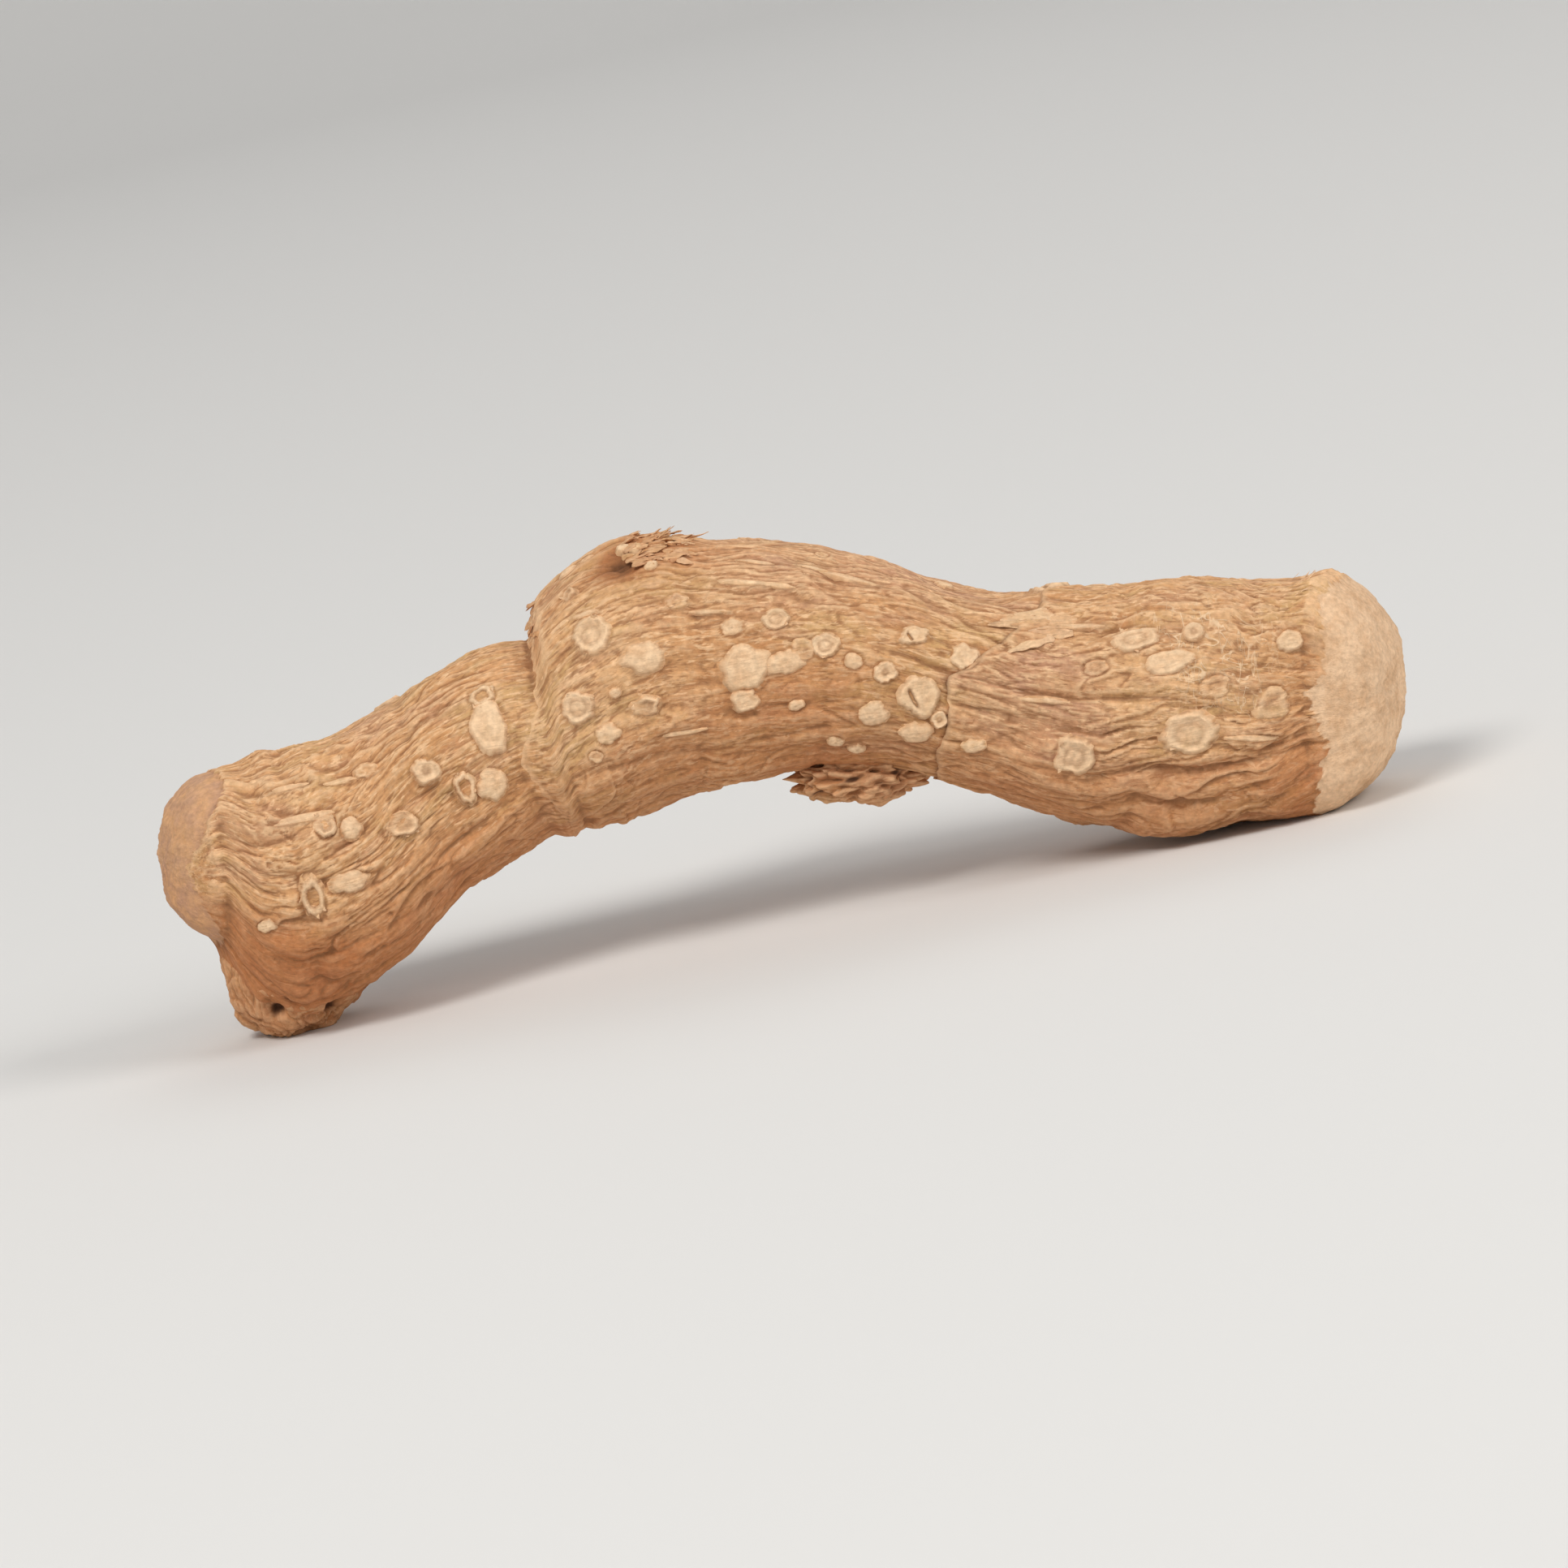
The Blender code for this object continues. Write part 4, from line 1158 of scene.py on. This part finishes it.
def addBladeBlank():
    # one flake along X from 0 to 1: a six-sided strip that tapers to a blunt point
    deselectAll()
    bpy.ops.mesh.primitive_circle_add(vertices=6, radius=0.5, location=(0, 0, 0),
                                      rotation=(0, math.pi / 2, 0), fill_type="NGON")
    blank = renameActive("flakeBlank")
    bpy.ops.object.transform_apply(location=True, rotation=True, scale=True)
    startEditing()
    rings = frayed["rings"]
    radius = 1.0
    for k in range(1, rings + 1):
        nextRadius = (1 - (k / rings) ** 3) * 0.9 + 0.1
        share = nextRadius / radius
        extrudeRing((1 / rings, 0, 0), (1, share, share), (k / rings, 0, 0))
        radius = nextRadius
    return finishEditing(blank, 1, "CATMULL_CLARK")


def shapeBlade(blank, spot, normal, way, size, draw):
    # a copy of the flake, laid on the skin with a lift, a curl and a twist of its own
    length, width, thick, lift = size
    piece = copyOf(blank)
    raw = readPoints(piece)
    forward = (way - normal * way.dot(normal)).normalized()
    across = normal.cross(forward)
    t = raw[:, 0:1]
    start = draw.uniform(0, 50)
    ragged = 1 + 0.6 * noiseAt(raw * (5, 1, 1), (start, 0, 0))[:, None]
    wave = 0.12 * noiseAt(raw * (3, 3, 1), (0, start, 0))[:, None] * t
    curl = draw.uniform(-0.25, 0.25) * length
    line = (np.array(spot) + np.array(forward) * t * length + np.array(across) * curl * t**2
            + np.array(normal) * (lift * t**1.6 + wave - 0.12 * (1 - t) ** 2 + 0.05))
    twist = draw.uniform(-0.6, 0.6) * t
    side = np.array(across) * np.cos(twist) + np.array(normal) * np.sin(twist)
    out = np.array(normal) * np.cos(twist) - np.array(across) * np.sin(twist)
    points = line + side * raw[:, 1:2] * width * ragged + out * raw[:, 2:3] * thick
    if spot.x > frayed["archStart"]:
        points[:, 2] = np.maximum(points[:, 2], frayed["archBase"])
    writePoints(piece, settle(points) * mm)
    return piece, points


def addFrayed():
    # the tufts' flakes, then a few torn lips round the rough kinds of scar
    blank = addBladeBlank()
    draw = random.Random(frayed["seed"])
    parts, layers = [], {"grain": [], "red": [], "pale": []}

    def put(spot, normal, way, size, red, pale):
        piece, points = shapeBlade(blank, spot, normal, way, size, draw)
        parts.append(piece)
        layers["grain"].append(points + (0, draw.uniform(0, 9), 0))
        layers["red"].append(np.full(len(points), red))
        layers["pale"].append(np.full(len(points), pale))

    for tuft in frayed["tufts"]:
        for _ in range(tuft["count"]):
            along = draw.uniform(*tuft["along"])
            angle = math.radians(draw.uniform(*tuft["angle"]))
            spot, normal, _ = skinSpot(along, angle)
            aside, upward = draw.uniform(-0.5, 0.5), draw.uniform(-0.3, 0.3)
            way = Vector((tuft["way"], aside * tuft["stray"], upward * tuft["stray"]))
            size = (draw.uniform(*tuft["length"]), draw.uniform(*tuft["width"]),
                    tuft["thick"] * draw.uniform(0.7, 1.3), draw.uniform(*tuft["lift"]))
            put(spot, normal, way, size, draw.uniform(*tuft["red"]), draw.uniform(*tuft["pale"]))
    for scar in scars:
        along, across = scarAxes(scar)
        size = min(scar["wide"], scar["high"])
        for _ in range(frayed["lips"].get(scar["kind"], 0)):
            turn = draw.uniform(0, 2 * math.pi)
            away = along * (math.cos(turn) * scar["wide"]) + across * (math.sin(turn) * scar["high"])
            lip = (size * draw.uniform(0.35, 0.7), size * draw.uniform(0.4, 0.9),
                   0.12 * draw.uniform(0.7, 1.4), size * draw.uniform(0.15, 0.45))
            put(scar["place"] + away * 0.75, scar["normal"], away, lip, 0, draw.uniform(0.5, 0.95))
    bpy.data.objects.remove(blank, do_unlink=True)
    piece = joinAll(parts, "frayedBases", layers)
    return finishPiece(piece, (("fineHeight", 2, 0.14), ("height", 4, 0.5)))


frayedPiece = addFrayed()
print("frayed leaf bases modelled:", len(frayedPiece.data.polygons), "faces")


# Colours are linear. Lengths in a material are mm of grain, or metres of Object coordinates.
bark = {
    "tan": (0.610, 0.306, 0.128),
    "lightTan": (0.745, 0.410, 0.196),
    "straw": (0.750, 0.465, 0.238),
    # brown: dark dashes in the grain, and painted shade in the fine hollows
    "brown": (0.360, 0.168, 0.074),
    "rust": (0.500, 0.225, 0.092),
    "mauve": (0.560, 0.300, 0.178),
    "olive": (0.600, 0.375, 0.160),
    # groove: painted shade in the hollows of the relief, and the ground colour of the painted shade
    # layer
    "groove": (0.185, 0.080, 0.036),
    # pale flecks in the grain, and the painted highlight on what stands proud
    "paleFleckAndHighlight": (0.880, 0.570, 0.325),
    "red": (0.450, 0.150, 0.048),
    "scar": (0.920, 0.660, 0.420),
    "scarShade": (0.840, 0.570, 0.345),
    # pit: painted shade deep in pits, slits and the hollow
    "pit": (0.055, 0.022, 0.012),
    "cut": (0.860, 0.585, 0.368),
    "cutShade": (0.690, 0.425, 0.240),
    "oldCut": (0.560, 0.318, 0.200),
    "roughness": (0.74, 0.95),
    "specular": 0.20,
    "bump": 0.00016,
}

# Layers over the ground colour, in order: colour, stretch and offset of the grain, the noise's
# detail, roughness and distortion, then where it fades in, where it is full, and its most.
barkLayers = (
    ("straw", (0.13, 0.26, 0.26), (3, 8, 1), (4, 0.6, 0.6), (0.50, 0.68, 0.55)),
    ("rust", (0.20, 0.42, 0.42), (0, 0, 0), (5, 0.62, 0.8), (0.48, 0.64, 0.66)),
    ("olive", (0.16, 0.30, 0.30), (1, 2, 9), (4, 0.6, 0.6), (0.50, 0.64, 0.70)),
    ("mauve", (0.15, 0.34, 0.34), (6, 1, 4), (4, 0.6, 0.6), (0.50, 0.66, 0.60)),
    ("brown", (0.42, 2.4, 2.4), (0, 0, 0), (5, 0.62, 0.6), (0.54, 0.70, 0.55)),
    ("paleFleckAndHighlight", (0.36, 2.2, 2.2), (7, 3, 1), (5, 0.65, 0.5), (0.55, 0.70, 0.60)),
    ("paleFleckAndHighlight", (0.75, 2.6, 2.6), (5, 5, 2), (3, 0.55, 0.8), (0.56, 0.63, 0.75)),
    ("brown", (0.70, 3.4, 3.4), (2, 9, 6), (3, 0.5, 0.8), (0.57, 0.64, 0.70)),
)


def newMaterial(name):
    material = bpy.data.materials.new(name)
    material.use_nodes = True
    return material, material.node_tree


def addNode(tree, kind, inputs=None, **settings):
    # a node with its settings, and its inputs linked where they are sockets
    made = tree.nodes.new(kind)
    for key, value in settings.items():
        setattr(made, key, value)
    for key, value in (inputs or {}).items():
        if isinstance(value, bpy.types.NodeSocket):
            tree.links.new(value, made.inputs[key])
        else:
            made.inputs[key].default_value = value
    return made


def readLayer(tree, name, output="Fac"):
    return addNode(tree, "ShaderNodeAttribute", attribute_name=name).outputs[output]


def math2(tree, operation, first, second, clamp=False):
    # a math node with two inputs
    return addNode(tree, "ShaderNodeMath", {0: first, 1: second}, operation=operation,
                   use_clamp=clamp).outputs[0]


def spread(tree, value, low, high, toLow=0.0, toHigh=1.0):
    # maps low to high onto toLow to toHigh, and stops there
    inputs = {"Value": value, "From Min": low, "From Max": high, "To Min": toLow, "To Max": toHigh}
    return addNode(tree, "ShaderNodeMapRange", inputs).outputs["Result"]


def mixColour(tree, factor, first, second, blend="MIX"):
    made = tree.nodes.new("ShaderNodeMix")
    made.data_type = "RGBA"
    made.blend_type = blend
    for index, value in ((0, factor), (6, first), (7, second)):
        if isinstance(value, bpy.types.NodeSocket):
            tree.links.new(value, made.inputs[index])
        else:
            made.inputs[index].default_value = value if index == 0 else (*value[:3], 1.0)
    return made.outputs[2]


def stretched(tree, vector, scale, offset=(0, 0, 0)):
    return addNode(tree, "ShaderNodeMapping",
                   {"Vector": vector, "Location": offset, "Scale": scale}).outputs["Vector"]


def noiseNode(tree, vector, scale=1.0, detail=4.0, roughness=0.6, distortion=0.0):
    inputs = {"Vector": vector, "Scale": scale, "Detail": detail, "Roughness": roughness,
              "Distortion": distortion}
    return addNode(tree, "ShaderNodeTexNoise", inputs).outputs["Fac"]


def barkMaterial():
    material, tree = newMaterial("driedBark")
    shader = tree.nodes["Principled BSDF"]
    grain = readLayer(tree, "grain", "Vector")
    place = addNode(tree, "ShaderNodeTexCoord").outputs["Object"]

    def layer(name, amount):
        return math2(tree, "MULTIPLY", readLayer(tree, name), amount)

    patches = noiseNode(tree, place, 110, 4, 0.6, 0.4)
    colour = mixColour(tree, spread(tree, patches, 0.35, 0.66), bark["tan"], bark["lightTan"])
    for name, stretch, offset, look, (low, high, most) in barkLayers:
        value = noiseNode(tree, stretched(tree, grain, stretch, offset), 1.0, *look)
        share = spread(tree, value, low, high, 0.0, most)
        if name == "mauve":
            share = math2(tree, "ADD", share, layer("mauve", 0.6), True)
        colour = mixColour(tree, share, colour, bark[name])
        if name == "straw":
            colour = mixColour(tree, layer("straw", 0.5), colour, bark["straw"])

    red = math2(tree, "MULTIPLY", readLayer(tree, "red"), spread(tree, patches, 0.3, 0.6, 0.6, 1.0))
    height = readLayer(tree, "height")
    fineHeight = readLayer(tree, "fineHeight")
    # painted highlight on what stands proud of the smoothed surface, painted shade in what lies
    # below it, and the red tint between them
    colour = mixColour(tree, spread(tree, height, 0.05, 0.8, 0.0, 0.40), colour, bark["paleFleckAndHighlight"])
    colour = mixColour(tree, spread(tree, fineHeight, 0.15, 0.9, 0.0, 0.40), colour, bark["paleFleckAndHighlight"])
    colour = mixColour(tree, math2(tree, "MULTIPLY", red, 0.80), colour, bark["red"])
    colour = mixColour(tree, spread(tree, height, -0.08, -0.9, 0.0, 0.50), colour, bark["groove"])
    colour = mixColour(tree, spread(tree, fineHeight, -0.2, -1.0, 0.0, 0.60), colour, bark["brown"])

    # a web of pale hair lines where the crackle layer says so
    webs = []
    for scale, offset in (((1.25, 0.35, 0.35), (2, 5, 1)), ((0.4, 1.0, 1.0), (8, 3, 3))):
        web = noiseNode(tree, stretched(tree, grain, scale, offset), 1.0, 1, 0.4, 0.5)
        away = math2(tree, "ABSOLUTE", math2(tree, "SUBTRACT", web, 0.5), 0.0)
        webs.append(spread(tree, away, 0.024, 0.008))
    webPatches = spread(tree, noiseNode(tree, grain, 0.8, 2, 0.5), 0.42, 0.50)
    web = math2(tree, "MULTIPLY", math2(tree, "MAXIMUM", *webs), webPatches)
    hatch = math2(tree, "MULTIPLY", web, readLayer(tree, "crackle"))
    colour = mixColour(tree, math2(tree, "MULTIPLY", hatch, 0.75), colour, bark["scar"])
    scarTone = noiseNode(tree, place, 520, 3, 0.55)
    scarColour = mixColour(tree, spread(tree, scarTone, 0.30, 0.62), bark["scarShade"], bark["scar"])
    colour = mixColour(tree, layer("pale", 0.9), colour, scarColour)
    # painted shade: scar rims, pits, slits, the hollow and the crack darken towards deep brown and
    # near black
    paintedShade = readLayer(tree, "paintedShade")
    shadeColour = mixColour(tree, spread(tree, paintedShade, 0.45, 0.95), bark["groove"], bark["pit"])
    colour = mixColour(tree, paintedShade, colour, shadeColour)

    oldTone = noiseNode(tree, place, 620, 5, 0.65)
    oldCut = mixColour(tree, spread(tree, oldTone, 0.38, 0.70), bark["oldCut"], bark["lightTan"])
    edge = noiseNode(tree, stretched(tree, grain, (0.8, 1.7, 1.7)), 1.0, 4, 0.6)
    edge = math2(tree, "MULTIPLY", math2(tree, "SUBTRACT", edge, 0.5), 0.5)
    oldEdge = spread(tree, math2(tree, "ADD", readLayer(tree, "oldCut"), edge), 0.46, 0.54)
    colour = mixColour(tree, math2(tree, "MULTIPLY", oldEdge, 0.85), colour, oldCut)
    chalk = noiseNode(tree, place, 420, 6, 0.7, 0.2)
    cutColour = mixColour(tree, spread(tree, chalk, 0.34, 0.56), bark["cutShade"], bark["cut"])
    cutEdge = spread(tree, math2(tree, "ADD", readLayer(tree, "cut"), edge), 0.46, 0.54)
    colour = mixColour(tree, cutEdge, colour, cutColour)

    speck = noiseNode(tree, place, 2600, 2, 0.5)
    dusted = addNode(tree, "ShaderNodeVectorMath", {0: colour}, operation="SCALE")
    tree.links.new(spread(tree, speck, 0.3, 0.7, 0.86, 1.10), dusted.inputs["Scale"])
    tree.links.new(dusted.outputs[0], shader.inputs["Base Color"])

    rough = spread(tree, patches, 0.3, 0.7, bark["roughness"][1], bark["roughness"][0])
    tree.links.new(rough, shader.inputs["Roughness"])
    shader.inputs["Specular IOR Level"].default_value = bark["specular"]

    fibre = noiseNode(tree, stretched(tree, grain, (1.0, 5.5, 5.5)), 1.0, 4, 0.6, 0.4)
    pores = noiseNode(tree, place, 2400, 4, 0.65)
    fibre, pores = math2(tree, "MULTIPLY", fibre, 0.6), math2(tree, "MULTIPLY", pores, 0.45)
    raised = math2(tree, "ADD", fibre, pores)
    raised = math2(tree, "ADD", raised, math2(tree, "MULTIPLY", hatch, 0.25))
    relief = addNode(tree, "ShaderNodeBump", {"Height": raised, "Distance": bark["bump"],
                                              "Strength": 0.9})
    tree.links.new(relief.outputs["Normal"], shader.inputs["Normal"])
    return material


barkSkin = barkMaterial()
for piece in (*lengths, scarPiece, *shoots, frayedPiece):
    piece.data.materials.clear()
    piece.data.materials.append(barkSkin)
print("materials made")

# A pale seamless floor that curves up into a round wall, open at the top, in metres.
studio = {
    "floorRadius": 1.0,
    "curve": 0.45,
    "wallTop": 0.60,
    "sides": 72,
    "curveSteps": 7,
    "colour": (0.76, 0.75, 0.73),
    "world": (0.95, 0.97, 1.0),
    "worldStrength": 0.36,
    "roughness": 0.9,
    "specular": 0.2,
}


def addFloor():
    deselectAll()
    radius, level = studio["floorRadius"], 0.0
    curve, steps = studio["curve"], studio["curveSteps"]
    bpy.ops.mesh.primitive_circle_add(vertices=studio["sides"], radius=radius,
                                      location=(0, 0, 0), fill_type="NGON")
    floor = renameActive("studioFloor")
    startEditing()
    turns = [math.pi / 2 * k / steps for k in range(1, steps + 1)]
    profile = [(radius + curve * math.sin(turn), curve * (1 - math.cos(turn))) for turn in turns]
    profile.append((radius + curve, studio["wallTop"]))
    for nextRadius, nextLevel in profile:
        share = nextRadius / radius
        extrudeRing((0, 0, nextLevel - level), (share, share, 1), (0, 0, nextLevel))
        radius, level = nextRadius, nextLevel
    bpy.ops.mesh.delete(type="ONLY_FACE")
    bpy.ops.object.mode_set(mode="OBJECT")
    return floor


def floorMaterial():
    material, tree = newMaterial("studioPaper")
    shader = tree.nodes["Principled BSDF"]
    shader.inputs["Base Color"].default_value = (*studio["colour"], 1)
    shader.inputs["Roughness"].default_value = studio["roughness"]
    shader.inputs["Specular IOR Level"].default_value = studio["specular"]
    return material


floor = addFloor()
floor.data.materials.append(floorMaterial())
smoothShade(floor)
print("stage made")

# Soft lights: name, place in metres, width in metres, watts, colour.
lights = {
    "keyLight": ((-0.45, -0.70, 1.00), 0.55, 8.3, (1.0, 0.98, 0.95)),
    "fillLight": ((0.85, -0.45, 0.70), 0.60, 4.6, (1.0, 0.99, 0.98)),
    "backLight": ((0.10, 0.80, 0.90), 0.70, 1.8, (1.0, 0.98, 0.96)),
}
lightAim = (0, 0, 0.015)


def addLights():
    for name, (place, width, watts, colour) in lights.items():
        bpy.ops.object.light_add(type="AREA", location=place)
        light = bpy.context.active_object
        light.name = name
        light.data.shape = "DISK"
        light.data.size = width
        light.data.energy = watts
        light.data.color = colour
        aim = Vector(lightAim) - Vector(place)
        light.rotation_euler = aim.to_track_quat("-Z", "Y").to_euler()
    world = bpy.data.worlds.new("studioAir")
    world.use_nodes = True
    air = world.node_tree.nodes["Background"]
    air.inputs["Color"].default_value = (*studio["world"], 1)
    air.inputs["Strength"].default_value = studio["worldStrength"]
    bpy.context.scene.world = world


addLights()
print("lights made")

# The camera looks from the front, a little from above, and is rolled as the root lies tilted.
cameraView = {
    "aim": (-0.0002, 0.0, 0.0105),
    "elevation": 10.0,
    "roll": 12.44,
    "distance": 0.549,
    "lens": 162,
}


def addCamera():
    # its axes are worked out from the line of sight, then rolled
    tilt, roll = math.radians(cameraView["elevation"]), math.radians(cameraView["roll"])
    look = Vector((0, math.cos(tilt), -math.sin(tilt)))
    levelUp = Vector((0, math.sin(tilt), math.cos(tilt)))
    right = Vector((math.cos(roll), 0, 0)) - levelUp * math.sin(roll)
    up = Vector((math.sin(roll), 0, 0)) + levelUp * math.cos(roll)
    axes = Matrix((right, up, -look)).transposed()
    bpy.ops.object.camera_add(location=Vector(cameraView["aim"]) - look * cameraView["distance"],
                              rotation=axes.to_euler())
    camera = bpy.context.active_object
    camera.name = "photoCamera"
    camera.data.lens = cameraView["lens"]
    camera.data.dof.use_dof = False
    camera.data.clip_start, camera.data.clip_end = 0.01, 20
    bpy.context.scene.camera = camera


addCamera()
print("camera set")
